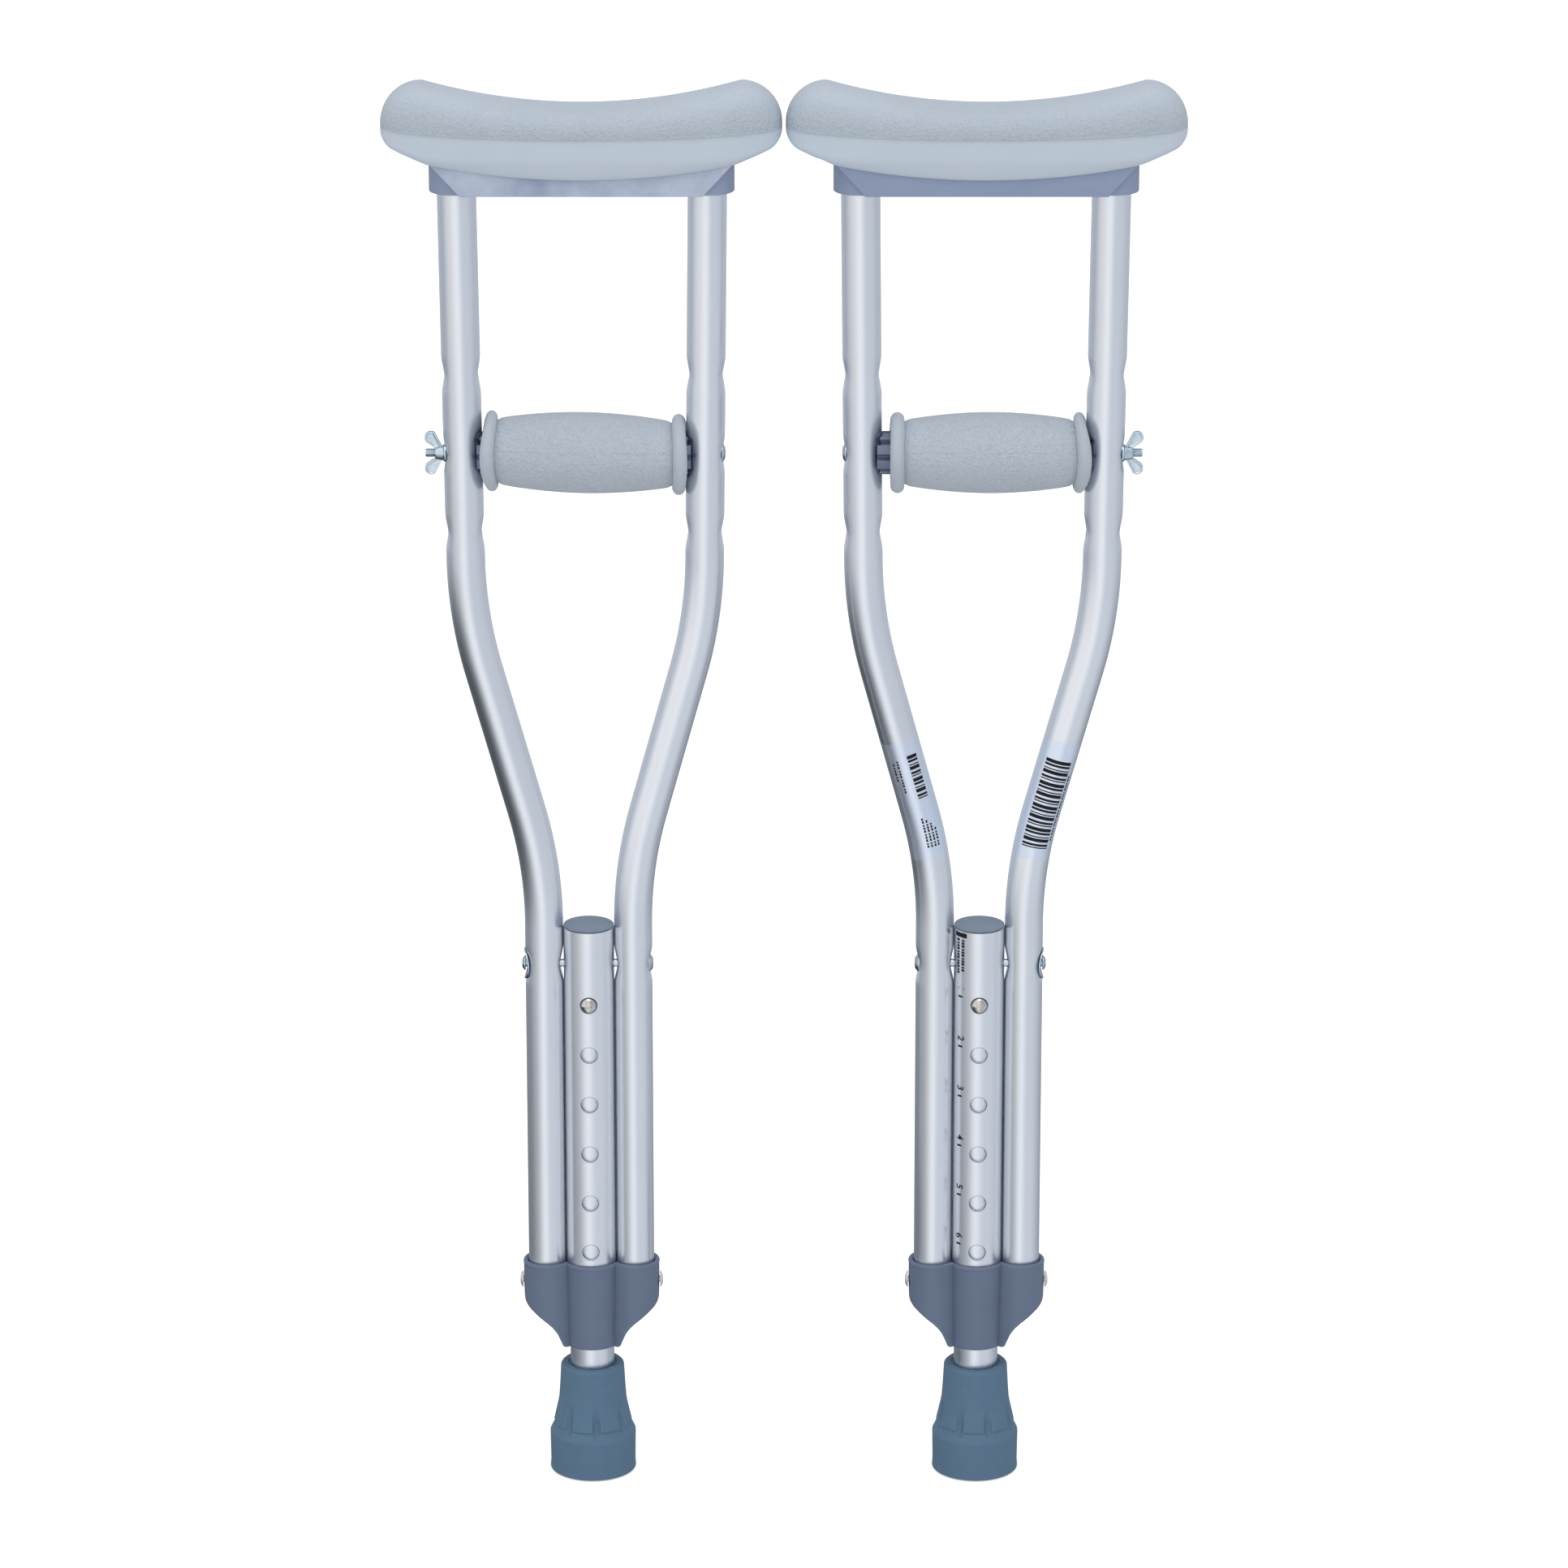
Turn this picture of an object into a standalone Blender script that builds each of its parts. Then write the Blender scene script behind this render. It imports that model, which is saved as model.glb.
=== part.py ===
"""A pair of adjustable aluminium underarm crutches, set to their shortest height.

Units are metres, +Z is up, and the origin is on the floor midway between the two rubber tips.
Each crutch is drawn in its own coordinates: u points away from the other crutch, y points to the
back and z points up. The left crutch is the mirror image of the right one.
"""
import math

import bmesh
import bpy
from mathutils import Matrix, Vector

MM = 0.001

# Pair
CRUTCH_SPACING = 187.0 * MM
GAP = 0.3 * MM                      # clearance between pieces that touch

# Height adjustment: six holes one inch apart
HOLE_PITCH = 25.4 * MM
HOLE_COUNT = 6
TOP_HOLE_Z = 243.3 * MM
HOLE_RADIUS = 4.1 * MM

# Tubes
SIDE_TUBE_RADIUS = 9.0 * MM
SIDE_TUBE_WALL = 1.2 * MM
CENTRE_TUBE_RADIUS = 12.0 * MM
CENTRE_TUBE_BORE = 10.9 * MM
CENTRE_TUBE_BOTTOM = 67.7 * MM
CENTRE_TUBE_TOP = 280.2 * MM
CAP_RIM = 0.5 * MM
CAP_STEM = 8.0 * MM
EXTENSION_RADIUS = 10.7 * MM
EXTENSION_BORE = 9.5 * MM
EXTENSION_BOTTOM = 7.8 * MM
EXTENSION_TOP = 253.5 * MM

# Side tube axis: straight runs joined by two bends, as (u, z) corners and bend radii
SIDE_TUBE_BOTTOM = 90.5 * MM
SIDE_TUBE_TOP = 657.5 * MM
LOWER_OFFSET = CENTRE_TUBE_RADIUS + GAP + SIDE_TUBE_RADIUS
SPREAD_CORNER = (LOWER_OFFSET, 310.2 * MM)
SPREAD_ANGLE = math.radians(15.5)
SPREAD_RADIUS = 210.0 * MM
RETURN_CORNER = (55.9 * MM, 435.0 * MM)
RETURN_ANGLE = math.radians(0.6)
RETURN_RADIUS = 215.0 * MM

# Handgrip: three rows of bolt holes
GRIP_Z = 514.1 * MM
GRIP_PITCH = 38.1 * MM
GRIP_ROWS = (GRIP_Z - GRIP_PITCH, GRIP_Z, GRIP_Z + GRIP_PITCH)
BOLT_RADIUS = 2.1 * MM
BOLT_HOLE_RADIUS = 2.6 * MM
BOLT_HEAD_SEAT = 64.5 * MM          # distance from the crutch axis
NUT_SEAT = 64.6 * MM
BOLT_END = 74.3 * MM
BOLT_HEAD_RADIUS = 4.4 * MM
BOLT_HEAD_HEIGHT = 1.8 * MM
SADDLE_RADIUS = 9.8 * MM            # hollows in the grip's ends that fit round the side tubes
CORE_HALF_LENGTH = 50.0 * MM
CORE_RADIUS = 10.5 * MM
CORE_VALLEY_RADIUS = 8.3 * MM
CORE_RIBS = 8
SLEEVE_ENDS = {"left": (-48.4 * MM, 48.4 * MM), "right": (-44.0 * MM, 50.0 * MM)}
SLEEVE_RADIUS = 19.0 * MM
SLEEVE_NECK_RADIUS = 15.4 * MM
SLEEVE_FLANGE = 6.7 * MM

# Wing nut
NUT_RIM_RADIUS = 4.4 * MM
NUT_RIM = 0.7 * MM
NUT_HEIGHT = 5.0 * MM
WING_TIP = (7.1 * MM, 7.4 * MM)      # centre of the round tip: from the seat, from the axis
WING_TIP_RADIUS = 2.8 * MM
WING_HALF_THICKNESS = 1.0 * MM

# Dents pressed into the side tubes around bolts and rivet
DENT_HALF_LENGTH = 9.0 * MM
GRIP_DENT = 1.5 * MM
RIVET_DENT = 1.9 * MM
DENT_FLOOR = 0.5                    # share of the length with a flat floor
RIVET_Z = 261.0 * MM
RIVET_RADIUS = 2.0 * MM
RIVET_DOME = (4.45 * MM, 2.3 * MM)  # radius and height of the inner head
RIVET_HEAD = (3.55 * MM, 1.7 * MM)  # and of the outer one
RIVET_HEAD_SEAT = 30.3 * MM
WASHER_RADIUS = 7.6 * MM
WASHER_FLARE = 1.6 * MM
WASHER_WRAP = 1.2 * MM
WASHER_THICKNESS = 0.8 * MM

# Collar
COLLAR_BOTTOM = 65.4 * MM
COLLAR_TOP = 109.0 * MM
COLLAR_SHOULDER = 87.4 * MM
COLLAR_WAIST = (19.0 * MM, 76.6 * MM)  # half width and height where the taper turns steep
COLLAR_CENTRE_LOBE = 14.6 * MM
COLLAR_SIDE_LOBE = 12.2 * MM
COLLAR_NECK_RADIUS = 13.5 * MM
COLLAR_RIVET_Z = 98.0 * MM
COLLAR_RIVET_RADIUS = 1.6 * MM
COLLAR_RIVET_HEAD = (4.0 * MM, 1.1 * MM)

# Rubber tip
TIP_TOP = 55.0 * MM
TIP_BORE = EXTENSION_RADIUS + GAP
TIP_FLOOR = 5.7 * MM
TIP_FOOT_RADIUS = 20.9 * MM
TIP_FOOT_HEIGHT = 18.9 * MM
WASHER_IN_TIP = 1.5 * MM

# Cradle and pad
CRADLE_BOTTOM = 640.0 * MM
CRADLE_TOP = 662.0 * MM
CRADLE_HALF_LENGTH = 70.7 * MM
CRADLE_HALF_DEPTH = 12.8 * MM
PLATE_HALF_DEPTH = 15.3 * MM
PLATE_BOTTOM_HALF = 56.0 * MM
PAD_HALF_LENGTH = 93.0 * MM
PAD_HALF_DEPTH = 19.5 * MM
PAD_TOP = 680.0 * MM
PAD_BOTTOM = 648.2 * MM
PAD_END_RADIUS = 19.0 * MM
PAD_END_RISE = 11.0 * MM
SMILE_RISE = 6.6 * MM
PAD_END_SLOPE = 0.40                # slant of the pad's underside beyond the cradle
PAD_CORNER_RADIUS = 6.0 * MM
POCKET_HALF_LENGTH = 72.5 * MM

# Mesh fineness
TUBE_SEGMENTS = 20
SIDE_SEGMENTS = 10
SIDE_BORE_SEGMENTS = 6
ROUND_SEGMENTS = 12
HOLE_SEGMENTS = 8


# ---------------------------------------------------------------- scene and materials

def clear_scene():
    """Remove every object of the starting scene."""
    for obj in list(bpy.data.objects):
        bpy.data.objects.remove(obj, do_unlink=True)


def principled(name, colour, roughness, metallic=0.0):
    """A plain Principled material."""
    material = bpy.data.materials.new(name)
    material.use_nodes = True
    shader = material.node_tree.nodes["Principled BSDF"]
    shader.inputs["Base Color"].default_value = (*colour, 1.0)
    shader.inputs["Roughness"].default_value = roughness
    shader.inputs["Metallic"].default_value = metallic
    return material


def make_materials():
    """One material for each kind of piece."""
    return {
        "aluminium": principled("aluminium", (0.62, 0.65, 0.70), 0.35, 1.0),
        "pad_foam": principled("pad_foam", (0.39, 0.46, 0.50), 0.6),
        "grip_foam": principled("grip_foam", (0.37, 0.44, 0.47), 0.6),
        "blue_grey_plastic": principled("blue_grey_plastic", (0.15, 0.17, 0.25), 0.4),
        "tip_rubber": principled("tip_rubber", (0.09, 0.16, 0.22), 0.7),
        "zinc_steel": principled("zinc_steel", (0.70, 0.72, 0.74), 0.3, 1.0),
        "chrome": principled("chrome", (0.85, 0.84, 0.83), 0.1, 1.0),
        "spring_steel": principled("spring_steel", (0.45, 0.45, 0.46), 0.35, 1.0),
    }


# ---------------------------------------------------------------- mesh helpers

def bridge(bm, lower, upper):
    """Join two rings of equally many vertices with quads."""
    count = len(lower)
    for i in range(count):
        j = (i + 1) % count
        bm.faces.new((lower[i], lower[j], upper[j], upper[i]))


def loft(rings):
    """A closed body through rings of points, capped at both ends."""
    bm = bmesh.new()
    loops = [[bm.verts.new(point) for point in ring] for ring in rings]
    for lower, upper in zip(loops, loops[1:]):
        bridge(bm, lower, upper)
    bm.faces.new(loops[0])
    bm.faces.new(loops[-1])
    bmesh.ops.recalc_face_normals(bm, faces=bm.faces)
    return bm


def stitch(bm, outer, inner):
    """Close the gap between two rings that may differ in vertex count with triangles."""
    i = j = 0
    while i < len(outer) or j < len(inner):
        start, end = outer[i % len(outer)], inner[j % len(inner)]
        if (i + 1) / len(outer) <= (j + 1) / len(inner):
            i += 1
            bm.faces.new((start, outer[i % len(outer)], end))
        else:
            j += 1
            bm.faces.new((start, inner[j % len(inner)], end))


def pipe(outer_rings, inner_rings):
    """A hollow body between an outer and an inner set of rings, open at both ends."""
    bm = bmesh.new()
    walls = []
    for rings in (outer_rings, inner_rings):
        loops = [[bm.verts.new(point) for point in ring] for ring in rings]
        for lower, upper in zip(loops, loops[1:]):
            bridge(bm, lower, upper)
        walls.append(loops)
    outer, inner = walls
    stitch(bm, outer[0], inner[0])
    stitch(bm, outer[-1], inner[-1])
    bmesh.ops.recalc_face_normals(bm, faces=bm.faces)
    return bm


def lathe(profile, segments, axis="Z", centre=(0.0, 0.0, 0.0)):
    """Turn a closed (radius, height) outline round an axis through centre."""
    bm = bmesh.new()
    verts = [bm.verts.new((radius, 0.0, height)) for radius, height in profile]
    edges = [bm.edges.new((verts[i - 1], verts[i])) for i in range(len(verts))]
    on_axis = [e for e in edges if e.verts[0].co.x == 0.0 and e.verts[1].co.x == 0.0]
    bmesh.ops.delete(bm, geom=on_axis, context="EDGES")
    edges = list(bm.edges)
    bmesh.ops.spin(bm, geom=verts + edges, axis=(0, 0, 1), cent=(0, 0, 0),
                   angle=math.tau, steps=segments, use_merge=True)
    bmesh.ops.remove_doubles(bm, verts=bm.verts, dist=1e-6)
    bmesh.ops.recalc_face_normals(bm, faces=bm.faces)
    turn = {"Z": Matrix.Identity(4),
            "X": Matrix.Rotation(math.pi / 2, 4, "Y"),
            "Y": Matrix.Rotation(-math.pi / 2, 4, "X")}[axis]
    bmesh.ops.transform(bm, matrix=Matrix.Translation(centre) @ turn, verts=bm.verts)
    return bm


def rods(specs, axis, segments):
    """Plain round rods in one mesh; each spec is (centre, radius, low end, high end)."""
    bm = bmesh.new()
    for centre, radius, low, high in specs:
        rod = lathe([(0, low), (radius, low), (radius, high), (0, high)], segments, axis, centre)
        mesh = bpy.data.meshes.new("rod")
        rod.to_mesh(mesh)
        rod.free()
        bm.from_mesh(mesh)
        bpy.data.meshes.remove(mesh)
    return bm


def prism(outline, thickness_axis, low, high):
    """Extrude a flat outline; its two coordinates fill the axes other than thickness_axis."""
    def point(pair, depth):
        values = list(pair)
        values.insert("XYZ".index(thickness_axis), depth)
        return values
    return loft([[point(p, low) for p in outline], [point(p, high) for p in outline]])


def arc(centre, radius, start, end, steps):
    """Points along an arc from start to end, in degrees."""
    angles = [math.radians(start + (end - start) * i / steps) for i in range(steps + 1)]
    return [(centre[0] + radius * math.cos(a), centre[1] + radius * math.sin(a)) for a in angles]


def rounded_box(half_u, half_y, radius, steps):
    """Plan outline of a box with rounded corners."""
    points = []
    for corner, (su, sy) in enumerate(((1, 1), (-1, 1), (-1, -1), (1, -1))):
        centre = (su * (half_u - radius), sy * (half_y - radius))
        points += arc(centre, radius, corner * 90, corner * 90 + 90, steps)
    return points


class Crutch:
    """Places pieces of one crutch; side is -1 for the left crutch and +1 for the right one."""

    def __init__(self, name, side):
        self.name = name
        self.side = side
        self.frame = bpy.data.objects.new(f"{name}_crutch", None)
        self.frame.location.x = side * CRUTCH_SPACING / 2
        bpy.context.collection.objects.link(self.frame)

    def add(self, name, bm, material=None, origin=(0.0, 0.0, 0.0)):
        """Make an object, with its origin at a point of the crutch and mirrored when left."""
        bmesh.ops.translate(bm, vec=-Vector(origin), verts=bm.verts)
        if self.side < 0:
            bmesh.ops.scale(bm, vec=(-1, 1, 1), verts=bm.verts)
            bmesh.ops.reverse_faces(bm, faces=bm.faces)
        mesh = bpy.data.meshes.new(f"{self.name}_{name}")
        bm.to_mesh(mesh)
        bm.free()
        mesh.shade_smooth()
        mesh.set_sharp_from_angle(angle=math.radians(35))
        obj = bpy.data.objects.new(mesh.name, mesh)
        bpy.context.collection.objects.link(obj)
        obj.parent = self.frame
        obj.location = (self.side * origin[0], origin[1], origin[2])
        if material:
            mesh.materials.append(material)
        return obj

    def cutter(self, name, bm):
        """A hidden object used only by Boolean modifiers."""
        obj = self.add(name, bm)
        obj.hide_render = True
        obj.display_type = "WIRE"
        return obj


def combine(obj, other, operation):
    """Add a Boolean modifier."""
    modifier = obj.modifiers.new(f"{operation.lower()}_{other.name}", "BOOLEAN")
    modifier.object = other
    modifier.operation = operation


# ---------------------------------------------------------------- side tubes

def bend(corner, angle_in, angle_out, radius, z):
    """Offset and lean of a filleted corner at height z, or None outside the bend."""
    tangent = radius * math.tan(abs(angle_out - angle_in) / 2)
    start = (corner[0] - tangent * math.sin(angle_in), corner[1] - tangent * math.cos(angle_in))
    end_z = corner[1] + tangent * math.cos(angle_out)
    if not start[1] <= z <= end_z:
        return None
    sign = 1 if angle_out > angle_in else -1
    lean = math.asin(math.sin(angle_in) + sign * (z - start[1]) / radius)
    return start[0] + sign * radius * (math.cos(angle_in) - math.cos(lean)), lean


def tube_axis(z):
    """Offset of a side tube's axis from the crutch axis, and its lean, at height z."""
    lower_bend = bend(SPREAD_CORNER, 0.0, SPREAD_ANGLE, SPREAD_RADIUS, z)
    upper_bend = bend(RETURN_CORNER, SPREAD_ANGLE, RETURN_ANGLE, RETURN_RADIUS, z)
    if lower_bend or upper_bend:
        return lower_bend or upper_bend
    if z < SPREAD_CORNER[1]:
        return LOWER_OFFSET, 0.0
    corner, lean = RETURN_CORNER, SPREAD_ANGLE if z < RETURN_CORNER[1] else RETURN_ANGLE
    return corner[0] + (z - corner[1]) * math.tan(lean), lean


def dent_share(z, centre):
    """How deep a dent is at height z, from 0 outside it to 1 on its floor."""
    t = abs(z - centre) / DENT_HALF_LENGTH
    return max(0.0, min(1.0, (1.0 - t) / (1.0 - DENT_FLOOR)))


def side_tube_heights():
    """Heights of the side tube's rings: its ends, its bends and its dents."""
    heights = [SIDE_TUBE_BOTTOM, SIDE_TUBE_TOP]
    for centre in (RIVET_Z, *GRIP_ROWS):
        heights += [centre + DENT_HALF_LENGTH * t for t in (-1, -DENT_FLOOR, DENT_FLOOR, 1)]
    for corner, radius, turn in ((SPREAD_CORNER, SPREAD_RADIUS, SPREAD_ANGLE),
                                 (RETURN_CORNER, RETURN_RADIUS, SPREAD_ANGLE - RETURN_ANGLE)):
        reach = radius * math.tan(turn / 2)
        heights += [corner[1] + reach * t for t in (-0.95, 0.0, 0.9)]
    return sorted(heights)


def side_tube_rings(radius, segments, direction):
    """Rings of one wall of a side tube, with its dents on the outward and inward faces."""
    dents = [(RIVET_Z, RIVET_DENT)] + [(z, GRIP_DENT) for z in GRIP_ROWS]
    rings = []
    for z in side_tube_heights():
        offset, lean = tube_axis(z)
        depth = sum(depth * dent_share(z, centre) for centre, depth in dents)
        ring = []
        for i in range(segments):
            theta = math.tau * i / segments
            reach = radius - depth * math.cos(theta) ** 2
            across = reach * math.cos(theta)
            u = offset + across * math.cos(lean)
            ring.append((direction * u, reach * math.sin(theta), z - across * math.sin(lean)))
        rings.append(ring)
    return rings


def side_tube(direction):
    """One bent side tube; direction is +1 for the outer tube and -1 for the inner one."""
    outer = side_tube_rings(SIDE_TUBE_RADIUS, SIDE_SEGMENTS, direction)
    inner = side_tube_rings(SIDE_TUBE_RADIUS - SIDE_TUBE_WALL, SIDE_BORE_SEGMENTS, direction)
    return pipe(outer, inner)


def side_tube_holes(direction):
    """Cutter for the bolt, rivet and collar rivet holes of one side tube."""
    specs = [((0, 0, z), BOLT_HOLE_RADIUS, 40 * MM, 70 * MM) for z in GRIP_ROWS]
    specs.append(((0, 0, RIVET_Z), RIVET_RADIUS + GAP, 5 * MM, 40 * MM))
    middle = LOWER_OFFSET
    specs.append(((0, 0, COLLAR_RIVET_Z), COLLAR_RIVET_RADIUS + GAP, middle, 40 * MM))
    ends = [(c, r, min(direction * a, direction * b), max(direction * a, direction * b))
            for c, r, a, b in specs]
    return rods(ends, "X", HOLE_SEGMENTS)


# ---------------------------------------------------------------- frame

def centre_tube():
    return lathe([(CENTRE_TUBE_RADIUS, CENTRE_TUBE_TOP), (CENTRE_TUBE_RADIUS, CENTRE_TUBE_BOTTOM),
                  (CENTRE_TUBE_BORE, CENTRE_TUBE_BOTTOM), (CENTRE_TUBE_BORE, CENTRE_TUBE_TOP)],
                 TUBE_SEGMENTS)


def button_holes(count):
    """Cutter for holes in the front wall, from the top hole downwards."""
    heights = [TOP_HOLE_Z - HOLE_PITCH * i for i in range(count)]
    specs = [((0, 0, z), HOLE_RADIUS, -15 * MM, -5 * MM) for z in heights]
    return rods(specs, "Y", ROUND_SEGMENTS)


def centre_tube_cap():
    """Flat plug: a thin rim that covers the tube's edge and a stem inside it."""
    rim = CENTRE_TUBE_RADIUS
    seat = CENTRE_TUBE_TOP + GAP
    stem = CENTRE_TUBE_BORE - GAP
    top = seat + CAP_RIM
    return lathe([(0, top), (rim * 0.94, top), (rim, seat + CAP_RIM / 2), (rim, seat),
                  (stem, seat), (stem, seat - CAP_STEM), (0, seat - CAP_STEM)], TUBE_SEGMENTS)


def frame_rivet():
    """Rivet through the three tubes: a domed head inside, a small button head outside."""
    dome_seat = -(LOWER_OFFSET + SIDE_TUBE_RADIUS - RIVET_DENT + GAP)
    dome_radius, dome_height = RIVET_DOME
    head_radius, head_height = RIVET_HEAD
    profile = [(0, dome_seat - dome_height), (dome_radius * 0.7, dome_seat - dome_height * 0.75),
               (dome_radius, dome_seat), (RIVET_RADIUS, dome_seat), (RIVET_RADIUS, RIVET_HEAD_SEAT),
               (head_radius, RIVET_HEAD_SEAT), (head_radius * 0.7, RIVET_HEAD_SEAT + head_height * 0.75),
               (0, RIVET_HEAD_SEAT + head_height)]
    return lathe(profile, ROUND_SEGMENTS, "X", (0, 0, RIVET_Z))


def frame_rivet_washer():
    """Washer bent like a saddle: wrapped round the tube, and flared where the dent runs out."""
    seat = LOWER_OFFSET + SIDE_TUBE_RADIUS - RIVET_DENT + GAP
    radii = [RIVET_RADIUS + GAP, WASHER_RADIUS * 0.6, WASHER_RADIUS]
    profile = [(r, seat) for r in radii] + [(r, seat + WASHER_THICKNESS) for r in reversed(radii)]
    bm = lathe(profile, ROUND_SEGMENTS, "X", (0, 0, RIVET_Z))
    for vert in bm.verts:
        across, up = vert.co.y / WASHER_RADIUS, (vert.co.z - RIVET_Z) / WASHER_RADIUS
        vert.co.x += WASHER_FLARE * up ** 2 - WASHER_WRAP * across ** 2
    return bm


def collar_reach(angle, side_offset, side_radius, centre_radius):
    """Distance from the axis to the outline of three joined round lobes."""
    reach = centre_radius
    across = side_offset * abs(math.sin(angle))
    if across < side_radius:
        along = side_offset * abs(math.cos(angle))
        reach = max(reach, along + math.sqrt(side_radius ** 2 - across ** 2))
    return reach


def collar_half_width(z):
    """Front outline below the shoulder: a slanted run, then a steep one down to the neck."""
    waist_width, waist_z = COLLAR_WAIST
    full = LOWER_OFFSET + COLLAR_SIDE_LOBE
    runs = ((COLLAR_BOTTOM, COLLAR_NECK_RADIUS), (waist_z, waist_width), (COLLAR_SHOULDER, full),
            (COLLAR_TOP, full))
    for (low, low_width), (high, high_width) in zip(runs, runs[1:]):
        if z <= high:
            return low_width + (high_width - low_width) * (z - low) / (high - low)
    return full


def collar():
    """Three lobes that hold the tubes, cut narrower from the shoulder down to a round neck."""
    segments = 36
    edge = 1.2 * MM
    middle = (COLLAR_WAIST[1] + COLLAR_BOTTOM) / 2
    levels = [(COLLAR_BOTTOM, edge), (COLLAR_BOTTOM + edge, 0.0), (middle, 0.0),
              (COLLAR_WAIST[1], 0.0), (COLLAR_SHOULDER, 0.0), (COLLAR_TOP - edge, 0.0),
              (COLLAR_TOP, edge * 0.6)]
    rings = []
    for z, inset in levels:
        limit = collar_half_width(z)
        centre = min(COLLAR_CENTRE_LOBE, limit)
        ring = []
        for i in range(segments):
            angle = math.tau * i / segments
            reach = collar_reach(angle, LOWER_OFFSET, COLLAR_SIDE_LOBE, centre)
            reach = min(reach, limit / max(abs(math.cos(angle)), 1e-6)) - inset
            ring.append((reach * math.cos(angle), reach * math.sin(angle), z))
        rings.append(ring)
    return loft(rings)


def collar_bore():
    """Cutter for the centre tube's seat and the narrower way out for the extension tube."""
    seat = CENTRE_TUBE_RADIUS + GAP
    way_out = EXTENSION_RADIUS + GAP
    floor = CENTRE_TUBE_BOTTOM - GAP
    above = COLLAR_TOP + 5 * MM
    below = COLLAR_BOTTOM - 5 * MM
    return lathe([(0, above), (seat, above), (seat, floor), (way_out, floor),
                  (way_out, below), (0, below)], TUBE_SEGMENTS)


def collar_socket(direction):
    """Cutter for one side tube's socket."""
    centre = (direction * LOWER_OFFSET, 0, 0)
    socket = (centre, SIDE_TUBE_RADIUS + GAP, SIDE_TUBE_BOTTOM - GAP, COLLAR_TOP + 5 * MM)
    return rods([socket], "Z", TUBE_SEGMENTS)


def collar_rivet(direction):
    """Short domed rivet from the collar into the side tube's wall."""
    seat = LOWER_OFFSET + COLLAR_SIDE_LOBE + GAP
    radius = COLLAR_RIVET_RADIUS
    head, height = COLLAR_RIVET_HEAD
    tail = LOWER_OFFSET + SIDE_TUBE_RADIUS - SIDE_TUBE_WALL - 0.5 * MM
    profile = [(0, tail), (radius, tail), (radius, seat), (head, seat),
               (head * 0.75, seat + height * 0.7), (0, seat + height)]
    profile = [(r, direction * h) for r, h in profile]
    return lathe(profile, ROUND_SEGMENTS, "X", (0, 0, COLLAR_RIVET_Z))


def collar_rivet_holes():
    """Cutter for both rivet holes of the collar."""
    inside = LOWER_OFFSET
    outside = LOWER_OFFSET + COLLAR_SIDE_LOBE + 5 * MM
    centre = (0, 0, COLLAR_RIVET_Z)
    radius = COLLAR_RIVET_RADIUS + GAP
    return rods([(centre, radius, inside, outside), (centre, radius, -outside, -inside)],
                "X", HOLE_SEGMENTS)


# ---------------------------------------------------------------- top

def cradle_body():
    """Bar with rounded ends that holds both tube tops."""
    outline = rounded_box(CRADLE_HALF_LENGTH, CRADLE_HALF_DEPTH, CRADLE_HALF_DEPTH - MM, 5)
    return prism(outline, "Z", CRADLE_BOTTOM, CRADLE_TOP)


def cradle_plate():
    """Front and back plates with slanted ends, drawn as one block through the body."""
    top = CRADLE_HALF_LENGTH - MM
    step = CRADLE_TOP - 7 * MM
    outline = [(-PLATE_BOTTOM_HALF, CRADLE_BOTTOM), (PLATE_BOTTOM_HALF, CRADLE_BOTTOM),
               (top, step), (top, CRADLE_TOP), (-top, CRADLE_TOP), (-top, step)]
    return prism(outline, "Y", -PLATE_HALF_DEPTH, PLATE_HALF_DEPTH)


def cradle_sockets():
    """Cutter for the two blind sockets."""
    top = SIDE_TUBE_TOP + GAP
    offset = (tube_axis(CRADLE_BOTTOM)[0] + tube_axis(SIDE_TUBE_TOP)[0]) / 2
    radius = SIDE_TUBE_RADIUS + 1.5 * GAP
    return rods([((direction * offset, 0, 0), radius, CRADLE_BOTTOM - 5 * MM, top)
                 for direction in (1, -1)], "Z", ROUND_SEGMENTS)


def pad_top(x):
    """Height of the pad's ridge: a saddle between two rounded ends."""
    peak = PAD_HALF_LENGTH - PAD_END_RADIUS
    if abs(x) > peak:
        drop = math.sqrt(PAD_END_RADIUS ** 2 - (abs(x) - peak) ** 2)
        return PAD_TOP + PAD_END_RISE - PAD_END_RADIUS + drop
    radius = (peak ** 2 + PAD_END_RISE ** 2) / (2 * PAD_END_RISE)
    return PAD_TOP + radius - math.sqrt(radius ** 2 - x ** 2)


def pad_bottom(x):
    """Height of the skirt's lower edge: a shallow smile, slanted up beyond the cradle."""
    smile = SMILE_RISE * (min(abs(x), CRADLE_HALF_LENGTH) / CRADLE_HALF_LENGTH) ** 2
    slant = PAD_END_SLOPE * max(0.0, abs(x) - CRADLE_HALF_LENGTH)
    over = max(0.0, abs(x) - (PAD_HALF_LENGTH - PAD_CORNER_RADIUS)) / PAD_CORNER_RADIUS
    return PAD_BOTTOM + smile + slant + PAD_CORNER_RADIUS * (1 - math.sqrt(1 - over ** 2))


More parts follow.
